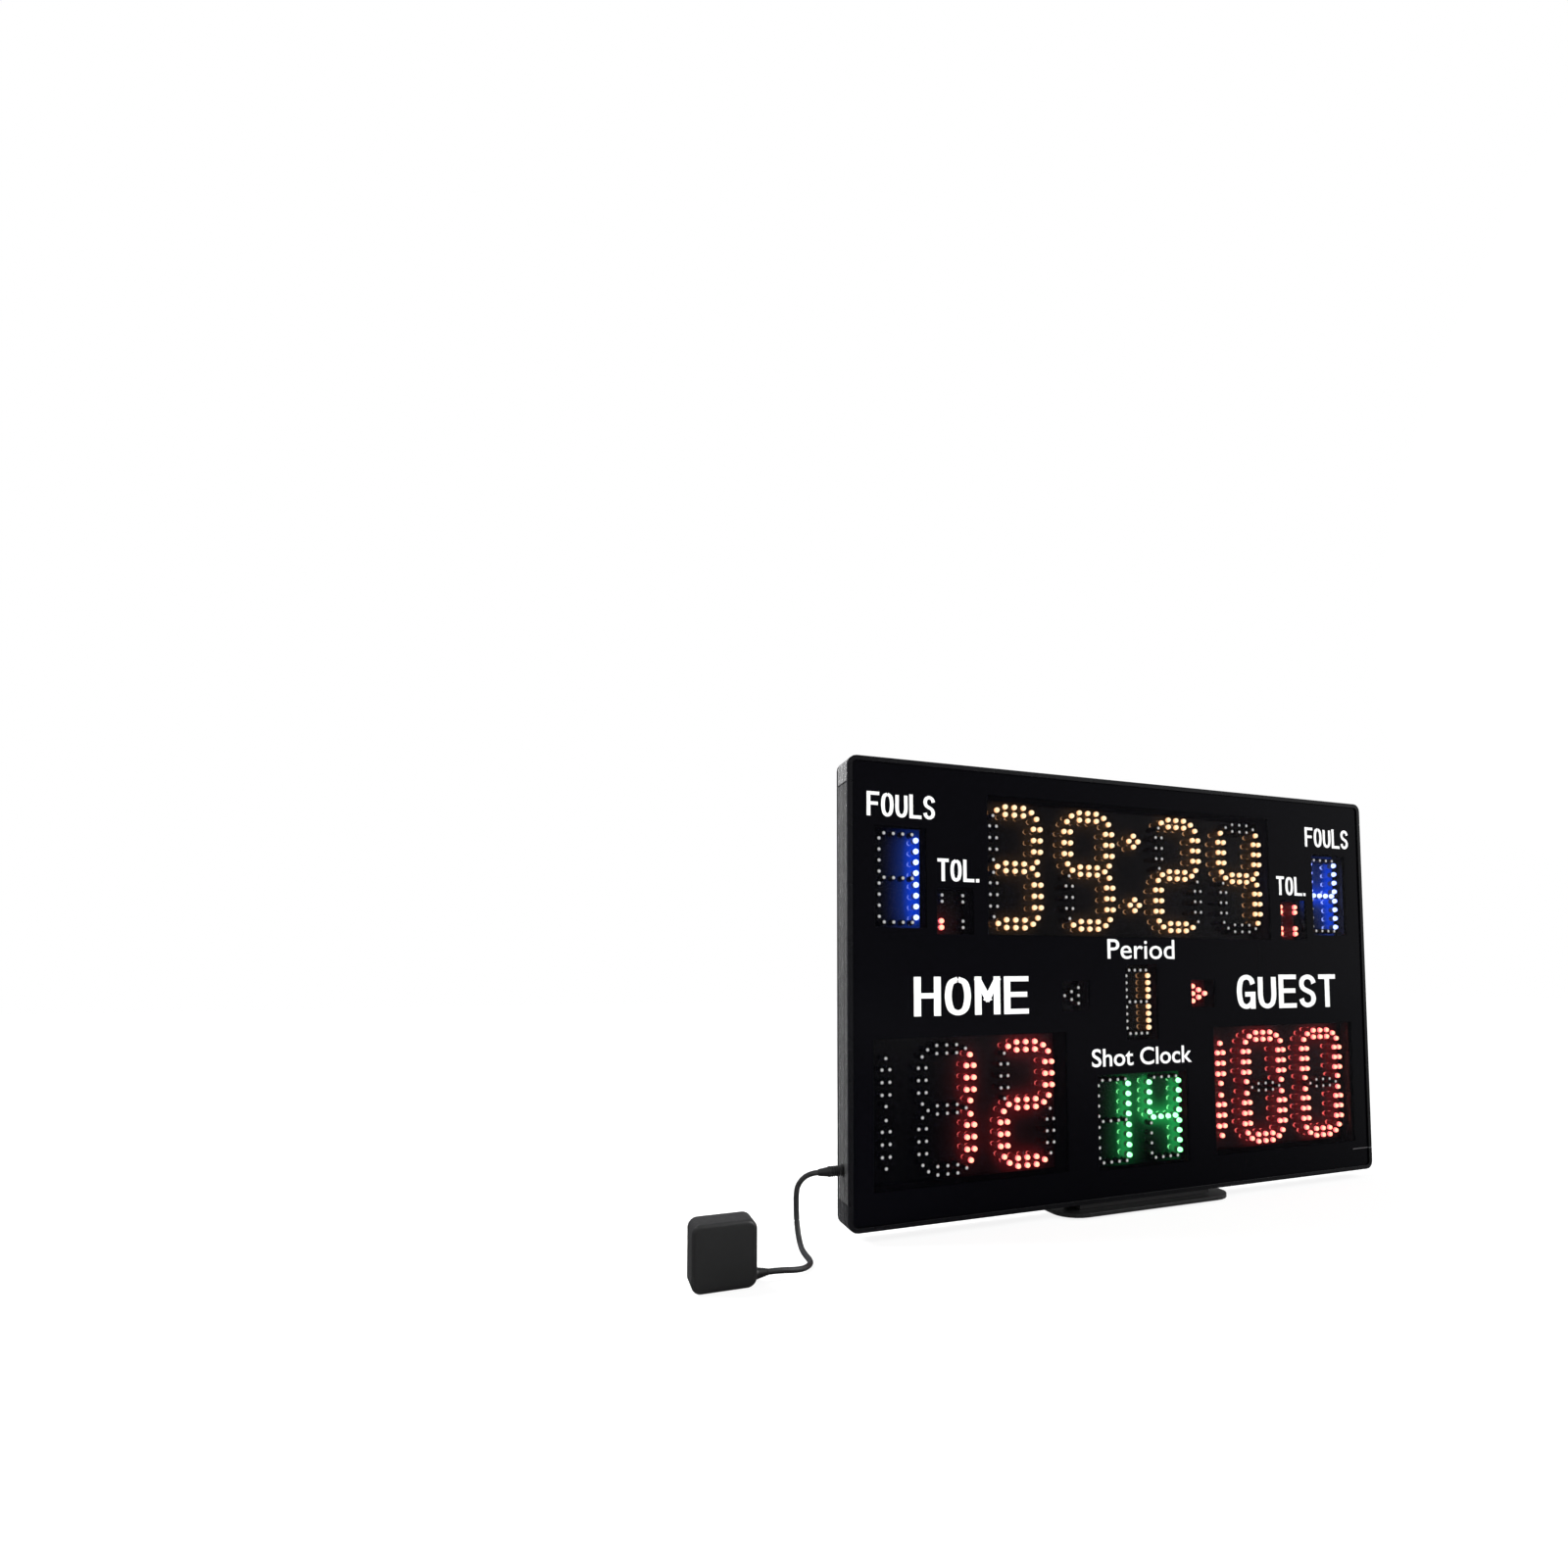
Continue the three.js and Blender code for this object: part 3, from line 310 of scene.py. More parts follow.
def edge(depth, rounding, steps):
    """Inset and depth of a slab's side with both its edges rounded to a quarter circle."""
    angle = np.linspace(0, np.pi / 2, steps + 1)
    inset = rounding * (1 - np.sin(angle))
    fall = rounding * (1 - np.cos(angle))
    return np.concatenate([np.stack([inset, fall], -1), np.stack([inset, depth - fall], -1)[::-1]])


def slab(name, front, size, radius, side, finish, least_radius=0.05):
    """A rounded slab: its outline, drawn in by each inset of its side, stacked backwards by depth."""
    rings = []
    for inset, depth in side:
        shape = outline(size[0] - 2 * inset, size[1] - 2 * inset, max(radius - inset, least_radius))
        rings.append(np.column_stack([shape[:, 0], np.full(len(shape), depth), shape[:, 1]]))
    return skinned(name, (np.array(rings) + np.asarray(front))[::-1], finish)


moulding = Finish("black_moulding", base_color=(0.006, 0.006, 0.0065))
moulding.roughness(0.34 + 0.2 * moulding.noise(0.25, detail=4))
moulding.relief(moulding.noise(3.5, detail=3), 0.03)

adaptor_low, adaptor_high = (np.array(corner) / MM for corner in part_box("supply_adaptor"))
adaptor_relief = 10
adaptor_depth, adaptor_corner, adaptor_edge = 28, 7, 3
adaptor_size = (adaptor_high[0] - adaptor_low[0] - adaptor_relief, adaptor_high[2] - adaptor_low[2])
adaptor_front = (adaptor_low[0] + adaptor_size[0] / 2, adaptor_low[1], adaptor_size[1] / 2)
adaptor_side = edge(adaptor_depth, adaptor_edge, 6)
adaptor = slab("adaptor_case", adaptor_front, adaptor_size, adaptor_corner, adaptor_side, moulding)
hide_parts("supply_adaptor")


def turned(name, profile, place, finish, way, around=32, middle_radius=0.02):
    """A turned piece: radius and distance from its place in each row, swept round an axis that runs to
    the right with way 1, and to the left with way -1."""
    profile = np.asarray(profile, float)
    angle = np.linspace(0, 2 * np.pi, around, endpoint=False)
    radius = np.maximum(profile[:, 0], middle_radius)[:, None]
    across, up = radius * np.cos(angle), radius * np.sin(angle)
    along = np.broadcast_to(profile[:, 1][:, None], across.shape)
    return skinned(name, np.stack([way * along, way * across, up], -1) + np.asarray(place), finish)


def rounded(points, radius, steps=4):
    """The profile with each of its inner corners replaced by a curve that starts radius away."""
    points = np.asarray(points, float)
    made = [points[:1]]
    for before, corner, after in zip(points, points[1:], points[2:]):
        legs = [other - corner for other in (before, after)]
        cuts = [corner + leg * min(0.5, radius / max(np.linalg.norm(leg), 1e-6)) for leg in legs]
        t = np.linspace(0, 1, steps + 1)[:, None]
        made.append((1 - t) ** 2 * cuts[0] + 2 * t * (1 - t) * corner + t**2 * cuts[1])
    made.append(points[-1:])
    return np.vstack(made)


relief_place = (adaptor_high[0] - adaptor_relief, lead_route[-1][1], lead_route[-1][2])
relief_profile = [(0, -1), (4.6, -1), (4.6, 1.2), (4.2, 2)]
relief_start, relief_pitch, relief_radius, relief_taper, relief_groove = 2.4, 1.7, 4.1, 0.35, 0.6
for groove in range(4):
    start = relief_start + groove * relief_pitch
    outer = relief_radius - groove * relief_taper
    inner = outer - relief_groove
    relief_profile += [(outer, start), (outer, start + 0.9), (inner, start + 1.0), (inner, start + 1.6)]
relief_profile += [(2.7, adaptor_relief), (0, adaptor_relief)]
relief = turned("adaptor_relief", relief_profile, relief_place, moulding, 1)

nickel = Finish("pin_metal", base_color=(0.62, 0.6, 0.56), metallic=1.0)
nickel.roughness(0.2 + 0.2 * nickel.noise(0.6, (1, 6, 1)))
pin_spacing, pin_length, pin_root, pin_corner, pin_edge = 12.7, 17, 0.5, 0.3, 0.4
pin_size = (1.5, 6.3)
pin_side = edge(pin_length + pin_root, pin_edge, 2)
for side in (-1, 1):
    pin_y = adaptor_low[1] + adaptor_depth - pin_root
    pin_place = (adaptor_front[0] + side * pin_spacing / 2, pin_y, adaptor_front[2])
    pin = slab(f"adaptor_pin_{side + 2}", pin_place, pin_size, pin_corner, pin_side, nickel)

inlet_place = (-298.5, -16.5, 58.6)
plug_radius, plug_groove, plug_start, plug_pitch, plug_edge = 4.5, 4.0, 2, 1.9, 0.25
plug_profile = [(0, 0.3), (4.1, 0.3), (plug_radius, 1.2)]
for groove in range(5):
    start = plug_start + groove * plug_pitch
    plug_profile += [(plug_radius, start), (plug_groove, start + 0.3)]
    plug_profile += [(plug_groove, start + 0.8), (plug_radius, start + 1.1)]
plug_profile += [(plug_radius, 12.2), (3.9, 13.4), (2.9, 21), (0, 21)]
plug = turned("plug_grip", rounded(plug_profile, plug_edge), inlet_place, moulding, -1)
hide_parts("lead_plug")
[tuple(point * MM) for point in along_route(lead_route, lead_steps)[0]]
moulding.on("supply_inlet")

# Frame of the display box: extruded aluminium, satin anodised, with black lips at the front and the
# back, a groove and a slightly crowned side. Four plastic corner caps close it; the lower left one
# is coloured black as painted shade.
front_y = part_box("left_rail")[0][1] / MM
rear_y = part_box("left_rail")[1][1] / MM
front_lip, rear_lip, crown, groove_depth = 3.2, 4.2, 0.009, 0.4
groove_y, painted_highlight_y = front_y + 11.5, rear_y - rear_lip - 1.6
cap_leg, joint_width = 22.5, 0.7
lip_black, lip_seam_highlight = (0.004, 0.004, 0.005), (0.09, 0.09, 0.095)
cap_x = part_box("right_rail")[1][0] / MM - cap_leg
middle_z = (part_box("top_rail")[1][2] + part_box("bottom_rail")[0][2]) / MM / 2
cap_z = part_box("top_rail")[1][2] / MM - cap_leg - middle_z


def frame_finish(name, silver, metal):
    """Silver between two black lips, by the distance from the front face, and black in the joints with
    the caps. The silver is streaked along the rail, with painted shade in the groove and a painted
    highlight on a line near the rear lip. The lower right cap's joint carries a painted highlight, a
    pale line in the front lip. The relief is the groove's depth, less the crown times the squared
    distance from the side's middle."""
    made = Finish(name, specular_ior_level=0.12)
    x, y, z = made.axes()
    lip = (y < front_y + front_lip) + (y > rear_y - rear_lip)
    across_joint = (x.size() - cap_x).size() < joint_width
    upright_joint = ((z - middle_z).size() - cap_z).size() < joint_width
    dark = (lip + across_joint + upright_joint).least(1)
    streak = made.noise(0.02, (1, 40, 1), detail=4)
    # The silver's colour: its real streaks, times painted shade in the groove and a painted highlight on
    # a line near the rear lip.
    groove = (y - groove_y).size().step(0.5, 1.6)
    painted_highlight = 1 - (y - painted_highlight_y).size().step(0.5, 1.5)
    streak_and_painted_light = (0.8 + 0.35 * streak) * (0.72 + 0.28 * groove) * (1 + 0.8 * painted_highlight)
    tinted = made.node("VectorMath", {"operation": "SCALE"}, {0: silver, "Scale": streak_and_painted_light})
    # Painted highlight: a pale line in the front lip at the lower right cap's joint.
    seam_highlight = ((middle_z - cap_z - z).size() < joint_width) * (x > 0) * (y < front_y + 0.5)
    made.color(made.mix(dark, tinted, made.mix(seam_highlight, lip_black, lip_seam_highlight)))
    made.plug(made.shader.inputs["Metallic"], metal - metal * dark)
    made.roughness(0.22 + 0.1 * streak)
    away = y - (front_y + rear_y) / 2
    grain = made.noise(0.05, (1, 60, 1), detail=3)
    made.relief(groove_depth * groove - crown * away * away + 0.007 * grain, 1.0, 0.5)
    return made


anodised = frame_finish("anodised_frame", (0.34, 0.34, 0.345), 0.95)
anodised.on("top_rail", "bottom_rail", "left_rail", "right_rail")
silver_caps = frame_finish("silver_caps", (0.38, 0.38, 0.385), 0.85)
silver_caps.on("corner_cap_top_left", "corner_cap_top_right", "corner_cap_bottom_right")
# The lower left cap is coloured black as painted shade, where the other caps are silver.
painted_shade_cap = frame_finish("painted_shade_cap", (0.012, 0.012, 0.013), 0.2)
painted_shade_cap.on("corner_cap_bottom_left")

# Front window: one sheet of acrylic behind the lip, black but for the smoked fields of the displays,
# with a painted highlight, a pale line, at the lower right cap's joint. Each field has its middle's x,
# on both sides, and its height above the display box's foot, then its half width and half height.
window = Finish("smoked_acrylic", specular_ior_level=0.04)
window_x, _, window_z = window.axes()
board_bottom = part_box("bottom_rail")[0][2] / MM
clear_fields = [
    (0, 311.8, 166, 64),
    (250.2, 297.2, 24, 44),
    (181, 95, 95, 64),
    (198.4, 269.2, 18, 21),
    (0, 185.6, 19, 36),
    (75, 192.6, 15, 14),
    (0, 73, 53, 44.5),
]
clear = 0
for across, up, half_width, half_height in clear_fields:
    inside = (window_x.size() - across).size() < half_width
    clear += inside * ((window_z - (board_bottom + up)).size() < half_height)
smoke_clear, seam_half, seam_reach = 0.36, 0.6, 4
window_black, window_highlight_pale = (0.0015, 0.0015, 0.0024), (0.07, 0.07, 0.074)
window.plug(window.shader.inputs["Alpha"], 1 - smoke_clear * clear)
# Painted highlight: a pale line on the window at the lower right cap's joint.
window_seam_highlight = ((middle_z - cap_z - window_z).size() < seam_half) * (window_x > cap_x - seam_reach)
window.color(window.mix(window_seam_highlight, window_black, window_highlight_pale))
window.roughness(0.1 + 0.05 * window.noise(0.05))
window.on("front_window")

# Legends: plain generic words in white ink on the front of the window. The names of the fields are
# drawn with a flat pen as capitals of one width, the two small titles in an ordinary plain type.
window_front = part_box("front_window")[0][1] / MM
print_gap = 0.06
ink = Finish("white_ink", base_color=(0.95, 0.95, 0.95))
ink.roughness(0.45 + 0.1 * ink.noise(2.0))
bowl = [(0.5, 1), (0.13, 0.88), (0, 0.5), (0.13, 0.12), (0.5, 0)]
strokes = {
    "F": [[(0, 0), (0, 1)], [(0, 1), (1, 1)], [(0, 0.52), (0.85, 0.52)]],
    "E": [[(0, 0), (0, 1)], [(0, 1), (1, 1)], [(0, 0.52), (0.92, 0.52)], [(0, 0), (1, 0)]],
    "L": [[(0, 0), (0, 1)], [(0, 0), (1, 0)]],
    "T": [[(0, 1), (1, 1)], [(0.5, 0), (0.5, 1)]],
    "H": [[(0, 0), (0, 1)], [(1, 0), (1, 1)], [(0, 0.52), (1, 0.52)]],
    "M": [[(0, 0), (0, 1)], [(1, 0), (1, 1)], [(0.02, 0.97), (0.5, 0.4)], [(0.98, 0.97), (0.5, 0.4)]],
    "O": [bowl + [(1 - x, z) for x, z in bowl[-2::-1]]],
    "U": [
        [(0, 1), (0, 0.7), (0, 0.34), (0.14, 0.09), (0.5, 0)]
        + [(0.86, 0.09), (1, 0.34), (1, 0.7), (1, 1)]
    ],
    "G": [
        [(1, 0.76), (0.86, 0.93)] + bowl + [(0.86, 0.09), (1, 0.22)],
        [(1, 0), (1, 0.42)],
        [(1, 0.42), (0.6, 0.42)],
    ],
    "S": [
        [(1, 0.77), (0.85, 0.93), (0.5, 1), (0.14, 0.92), (0.03, 0.74), (0.17, 0.59), (0.5, 0.5)]
        + [(0.83, 0.41), (0.97, 0.25), (0.86, 0.08), (0.5, 0), (0.15, 0.07), (0, 0.23)]
    ],
    ".": [[(0, 0), (0, 0.01)]],
}


def pen_stroke(points, pen):
    """A flat stroke: the line moved to either side by its normal times half the pen's width in x and
    in z. A straight one is lengthened by half the pen at both ends, and a bent one is smoothed."""
    if len(points) > 2:
        line, ways = along_route(points, 40)
    else:
        line = np.asarray(points, float)
        ways = np.repeat((line[1:] - line[:1]) / np.linalg.norm(line[1] - line[0]), 2, axis=0)
        line = line + ways * np.array([[-0.5], [0.5]]) * pen
    aside = np.stack([-ways[:, 1], ways[:, 0]], -1) * pen / 2
    count = len(line)
    step = np.arange(count - 1)
    faces = np.stack([count + step, count + step + 1, step + 1, step], -1)
    return np.vstack([line + aside, line - aside]), faces


def printed(name, flat, faces, rise=0.0):
    """Ink in front of the window, from points in x and z and from faces. Its rise is a number for
    each point, which keeps strokes that cross one another apart."""
    depth = window_front - print_gap - rise * np.ones(len(flat))
    points = np.column_stack([flat[:, 0], depth, flat[:, 1]])
    mesh = bpy.data.meshes.new(name)
    mesh.from_pydata((points * MM).tolist(), [], faces)
    finished(f"legend_{name}", mesh, ink, smooth=False)


# Name, word, middle's x and height, width, height, and the pen's width in x and z.
pen_words = [
    ("fouls_home", "FOULS", -249.4, 359.5, 63.7, 21, (3.3, 2.9)),
    ("fouls_guest", "FOULS", 249.4, 359.5, 63.7, 21, (3.3, 2.9)),
    ("timeouts_home", "TOL.", -191.5, 305.2, 48.5, 20, (3.3, 2.9)),
    ("timeouts_guest", "TOL.", 199.3, 305.2, 48.5, 20, (3.3, 2.9)),
    ("home", "HOME", -182.5, 194, 113, 34, (6.6, 4.6)),
    ("guest", "GUEST", 186, 193.6, 137, 35, (6.6, 4.8)),
]
letter_share, stroke_rise = 0.87, 0.03
for name, word, across, up, width, height, pen in pen_words:
    cell = width / (len(word) - 1 + letter_share)
    low = np.array([across - width / 2, board_bottom + up - height / 2]) + np.array(pen) / 2
    box = np.array([cell * letter_share, height]) - pen
    points, rise, faces, used = [], [], [], 0
    for number, letter in enumerate(word):
        for order, stroke in enumerate(strokes[letter]):
            line = low + (number * cell, 0) + np.array(stroke) * box
            drawn, quads = pen_stroke(line, np.array(pen))
            points.append(drawn)
            rise += [order * stroke_rise] * len(drawn)
            faces += (quads + used).tolist()
            used += len(drawn)
    printed(name, np.vstack(points), faces, np.array(rise))

# Name, words, middle's x and height, width, height, and the share by which the type is thickened.
small_titles = [
    ("period", "Period", 0.3, 236.5, 79, 19, 0.005),
    ("shot_clock", "Shot Clock", -0.6, 133.6, 117, 17, 0.012),
]
for name, words, across, up, width, height, weight in small_titles:
    text = bpy.data.curves.new(name, "FONT")
    text.body = words
    text.offset = weight
    text.resolution_u = 6
    text_object = bpy.data.objects.new(name, text)
    mesh = bpy.data.meshes.new_from_object(text_object)
    bpy.data.objects.remove(text_object)
    flat = np.empty(len(mesh.vertices) * 3)
    mesh.vertices.foreach_get("co", flat)
    flat = flat.reshape(-1, 3)[:, :2]
    low, high = flat.min(0), flat.max(0)
    unit = (flat - (low + high) / 2) / (high - low)
    faces = [tuple(face.vertices) for face in mesh.polygons]
    printed(name, unit * (width, height) + (across, board_bottom + up), faces)

# Lamp boards: glossy black circuit boards with 5 mm lamps in clear lenses. The lamps of the score,
# the clock and the fouls form seven-segment digits, and some of them are lit. Round the lit lamps
# the boards glow with painted light, and the unlit lenses carry a painted glint at the tip.
lamp_strength, painted_glow_strength, painted_glint_strength = 28.0, 22.0, 3.6
# Light of a lit lens at its tip and round it, then of the painted glow on the board, far and near.
lamp_colours = {
    "amber": [
        (0.37, 0.275, 0.175),
        (0.36, 0.17, 0.075),
        (0.0004, 0.0002, 0.0001),
        (0.008, 0.004, 0.0014),
    ],
    "red": [(0.95, 0.24, 0.16), (0.85, 0.08, 0.09), (0.003, 0.0004, 0.0005), (0.03, 0.001, 0.0014)],
    "blue": [(0.25, 0.32, 1), (0.3, 0.4, 1), (0.001, 0.005, 0.04), (0.001, 0.024, 0.36)],
    "green": [(0.2, 1, 0.3), (0.24, 1, 0.36), (0.0004, 0.012, 0.003), (0.006, 0.17, 0.036)],
}
lens_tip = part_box("clock_board")[0][1] / MM
lens_span, core_end, rim_start, rim_end, dim_start = 4, 1.2, 2.4, 3.6, 3.9
dim_share, far_place = 0.012, 0.3
# Unlit lenses carry a painted glint: white colour and a faint emission from the tip to dull_tip, fading
# out by dull_end.
dull_tip, dull_end = 0.3, 0.8
painted_glint_white, stem_dark = (0.9, 0.9, 0.92), (0.04, 0.04, 0.042)
black, painted_glint_light = (0, 0, 0), (1, 1, 1)
lit_lens, painted_glow_mask = {}, {}


def lens_light(lens, stops):
    """Colour down the lens: stops by the distance behind its tip."""
    shares = [(depth / lens_span, colour) for depth, colour in stops]
    behind = lens.axes()[1] - lens_tip
    return lens.node("ValToRGB", {"stops": shares}, {0: behind * (1 / lens_span)})


for colour, (core_light, rim_light, far_painted_glow, near_painted_glow) in lamp_colours.items():
    lens = Finish(
        f"{colour}_lamp", base_color=(0.2, 0.2, 0.2), roughness=0.2, emission_strength=lamp_strength
    )
    dim = tuple(dim_share * part for part in rim_light)
    stops = [(0, core_light), (core_end, core_light), (rim_start, rim_light), (rim_end, rim_light)]
    lens.plug(lens.shader.inputs["Emission Color"], lens_light(lens, stops + [(dim_start, dim)]))
    lit_lens[colour] = lens
    # The board round lit lamps glows with painted light, an emission that stands in for the lamps' halo.
    mask = Finish(
        f"{colour}_painted_glow_board", base_color=(0.006, 0.006, 0.007), ior=3.1, emission_strength=painted_glow_strength
    )
    glow = mask.node("Attribute", {"attribute_name": "glow"}, output=2)
    painted_glow_stops = {"stops": [(0, black), (far_place, far_painted_glow), (1, near_painted_glow)]}
    mask.plug(mask.shader.inputs["Emission Color"], mask.node("ValToRGB", painted_glow_stops, {0: glow}))
    mask.roughness(0.02 + 0.03 * mask.noise(0.3))
    painted_glow_mask[colour] = mask
# Unlit lens: a painted glint, white and faintly glowing at its tip, over a dark stem.
dull_lens = Finish("unlit_lens", roughness=0.2, emission_strength=painted_glint_strength)
dull_lens.color(lens_light(dull_lens, [(0, painted_glint_white), (dull_tip, painted_glint_white), (dull_end, stem_dark)]))
dull_painted_glint = lens_light(dull_lens, [(0, painted_glint_light), (dull_tip, painted_glint_light), (dull_end, black)])
dull_lens.plug(dull_lens.shader.inputs["Emission Color"], dull_painted_glint)

upright_x, upright_z, upright_pitch, upright_end = 23.6, 26.2, 10.66, 20.3
level_z, level_pitch, level_end, twin_half = 52.4, 9.6, 18.3, 3.55
glyph_segments = {
    " ": "",
    "0": "abcdef",
    "1": "bc",
    "2": "abdeg",
    "3": "abcdg",
    "4": "bcfg",
    "9": "abcdfg",
}


def large_digit(x, z, glyph, segments="abcdefg"):
    """Lamps of a large digit: paired rows in seven segments, as x, z and whether they are lit."""
    steps = np.array([-1, 0, 1])
    upright = [(0, -upright_end), (0, upright_end)]
    upright += [(side * twin_half, step * upright_pitch) for step in steps for side in (-1, 1)]
    level = [(-level_end, 0), (level_end, 0)]
    level += [(step * level_pitch, side * twin_half) for step in steps for side in (-1, 1)]
    places = {
        "a": (level, 0, level_z),
        "b": (upright, upright_x, upright_z),
        "c": (upright, upright_x, -upright_z),
        "d": (level, 0, -level_z),
        "e": (upright, -upright_x, -upright_z),
        "f": (upright, -upright_x, upright_z),
        "g": (level, 0, 0),
    }
    made = []
    for segment in segments:
        lamps, right, up = places[segment]
        lit = segment in glyph_segments[glyph]
        made += [(x + right + dx, z + up + dz, lit) for dx, dz in lamps]
    return made


small_sizes = (17.7, 5.2, 34, 38.7, 8.8)
tiny_sizes = (13.5, 4.9, 25.3, 30.7, 6.6)


def single_digit(sizes, x, z, glyph):
    """Lamps of a small digit: seven segments of four single lamps. Its sizes are how far out the
    uprights stand, from where to where they reach, how high the level segments lie, and their pitch."""
    right, low, high, level, pitch = sizes
    along = (np.arange(4) - 1.5) * pitch
    rise = np.linspace(low, high, 4)
    places = {
        "a": [(dx, level) for dx in along],
        "b": [(right, dz) for dz in rise],
        "c": [(right, -dz) for dz in rise],
        "d": [(dx, -level) for dx in along],
        "e": [(-right, -dz) for dz in rise],
        "f": [(-right, dz) for dz in rise],
        "g": [(dx, 0) for dx in along],
    }
    made = []
    for segment, lamps in places.items():
        made += [(x + dx, z + dz, segment in glyph_segments[glyph]) for dx, dz in lamps]
    return made


digit_pitch, clock_inner, clock_z, colon_rise, diamond = 80.6, 52.7, 311.8, 31.6, 5.4
clock_outer = clock_inner + digit_pitch
clock_lamps = []
for middle, glyph in zip((-clock_outer, -clock_inner, clock_inner, clock_outer), "3924"):
    clock_lamps += large_digit(middle, clock_z, glyph)
for rise in (-colon_rise, colon_rise):
    for dx, dz in ((-1, 0), (1, 0), (0, -1), (0, 1)):
        clock_lamps.append((dx * diamond, clock_z + rise + dz * diamond, True))

units_right, hundreds_left, score_z = 57.2, 80.6, 95


def score_lamps(middle, glyphs):
    """Lamps of a score: a hundreds one and two large digits, from the middle of the group."""
    units, hundreds = middle + units_right, middle - hundreds_left
    lamps = large_digit(hundreds - upright_x, score_z, glyphs[0], "bc")
    lamps += large_digit(units - digit_pitch, score_z, glyphs[1])
    return lamps + large_digit(units, score_z, glyphs[2])


pair_x, pair_z, pair_half, timeout_z = 10.2, 11.5, 2.85, 269.2


def timeout_lamps(middle, lit_pairs):
    """Lamps of the time-outs: four upright pairs, lit ones named by their column and row."""
    lamps = []
    for column in (-1, 1):
        for row in (-1, 1):
            lit = (column, row) in lit_pairs
            for twin in (-pair_half, pair_half):
                lamps.append((middle + column * pair_x, timeout_z + row * pair_z + twin, lit))
    return lamps


arrow_x, arrow_z, column_pitch, row_half = 83.5, 192.6, 7.65, 3.7


def arrow_lamps(side, lit):
    """Lamps of an arrow that points away from the middle: columns of one, two and three."""
    lamps = []
    for column in range(3):
        x = side * (arrow_x - column_pitch * column)
        lamps += [(x, arrow_z + (2 * row - column) * row_half, lit) for row in range(column + 1)]
    return lamps


all_pairs = {(-1, -1), (-1, 1), (1, -1), (1, 1)}
shot_lamps = single_digit(small_sizes, -30.1, 72.9, "1") + single_digit(small_sizes, 30.1, 72.9, "4")
lamp_boards = {
    "clock_board": ("amber", clock_lamps),
    "home_score_board": ("red", score_lamps(-182, " 12")),
    "guest_score_board": ("red", score_lamps(182, "100")),
    "home_fouls_board": ("blue", single_digit(small_sizes, -250.2, 297.2, "1")),
    "guest_fouls_board": ("blue", single_digit(small_sizes, 250.2, 297.2, "4")),
    "home_timeouts_board": ("red", timeout_lamps(-198.4, {(-1, -1)})),
    "guest_timeouts_board": ("red", timeout_lamps(198.4, all_pairs)),
    "period_board": ("amber", single_digit(tiny_sizes, 0, 185.6, "1")),
    "home_possession_board": ("red", arrow_lamps(-1, False)),
    "guest_possession_board": ("red", arrow_lamps(1, True)),
    "shot_clock_board": ("green", shot_lamps),
}

board_thickness = 1.6
lens_radius, lens_length, lens_foot, barrel_end = 2.5, 10.4, 1.4, 7.2
flange_radius, flange_thickness, standoff = 2.9, 1, 1.8
lens_profile = [(lens_foot, 0), (flange_radius, standoff), (flange_radius, standoff + flange_thickness)]
lens_profile.append((lens_radius, barrel_end))
for angle in np.radians([0, 35, 65]):
    dome_start = lens_length - lens_radius
    lens_profile.append((lens_radius * math.cos(angle), dome_start + lens_radius * math.sin(angle)))
lens_profile = np.array(lens_profile + [(0, lens_length)])


def lenses(name, places, finish, face_y, sides=8):
    """Lenses side by side in one mesh: the profile swept round each lamp's axis, towards the front."""
    angle = np.arange(sides) * 2 * np.pi / sides
    body_rows = lens_profile[:-1]
    rows, tip = len(body_rows), len(body_rows) * sides
    across = body_rows[:, 0][:, None] * np.cos(angle)
    up = body_rows[:, 0][:, None] * np.sin(angle)
    out = np.broadcast_to(-body_rows[:, 1][:, None], across.shape)
    one = np.vstack([np.stack([across, out, up], -1).reshape(-1, 3), [(0, -lens_length, 0)]])
    row, step = np.meshgrid(np.arange(rows - 1), np.arange(sides), indexing="ij")
    here, beside = row * sides + step, row * sides + (step + 1) % sides
    quads = np.stack([here, here + sides, beside + sides, beside], -1).reshape(-1, 4)
    base = np.arange(sides)
    last = (rows - 1) * sides
    caps = np.stack([last + base, np.full(sides, tip), last + (base + 1) % sides], -1)
    centres = np.array([(x, face_y, board_bottom + z) for x, z in places])
    points = (centres[:, None] + one).reshape(-1, 3)
    shift = (np.arange(len(centres)) * len(one))[:, None, None]
    faces = (shift + quads).reshape(-1, 4).tolist()
    faces += (shift + caps).reshape(-1, 3).tolist()
    faces += (shift + base).reshape(-1, sides).tolist()
    mesh = bpy.data.meshes.new(name)
    mesh.from_pydata((points * MM).tolist(), [], faces)
    return finished(name, mesh, finish)


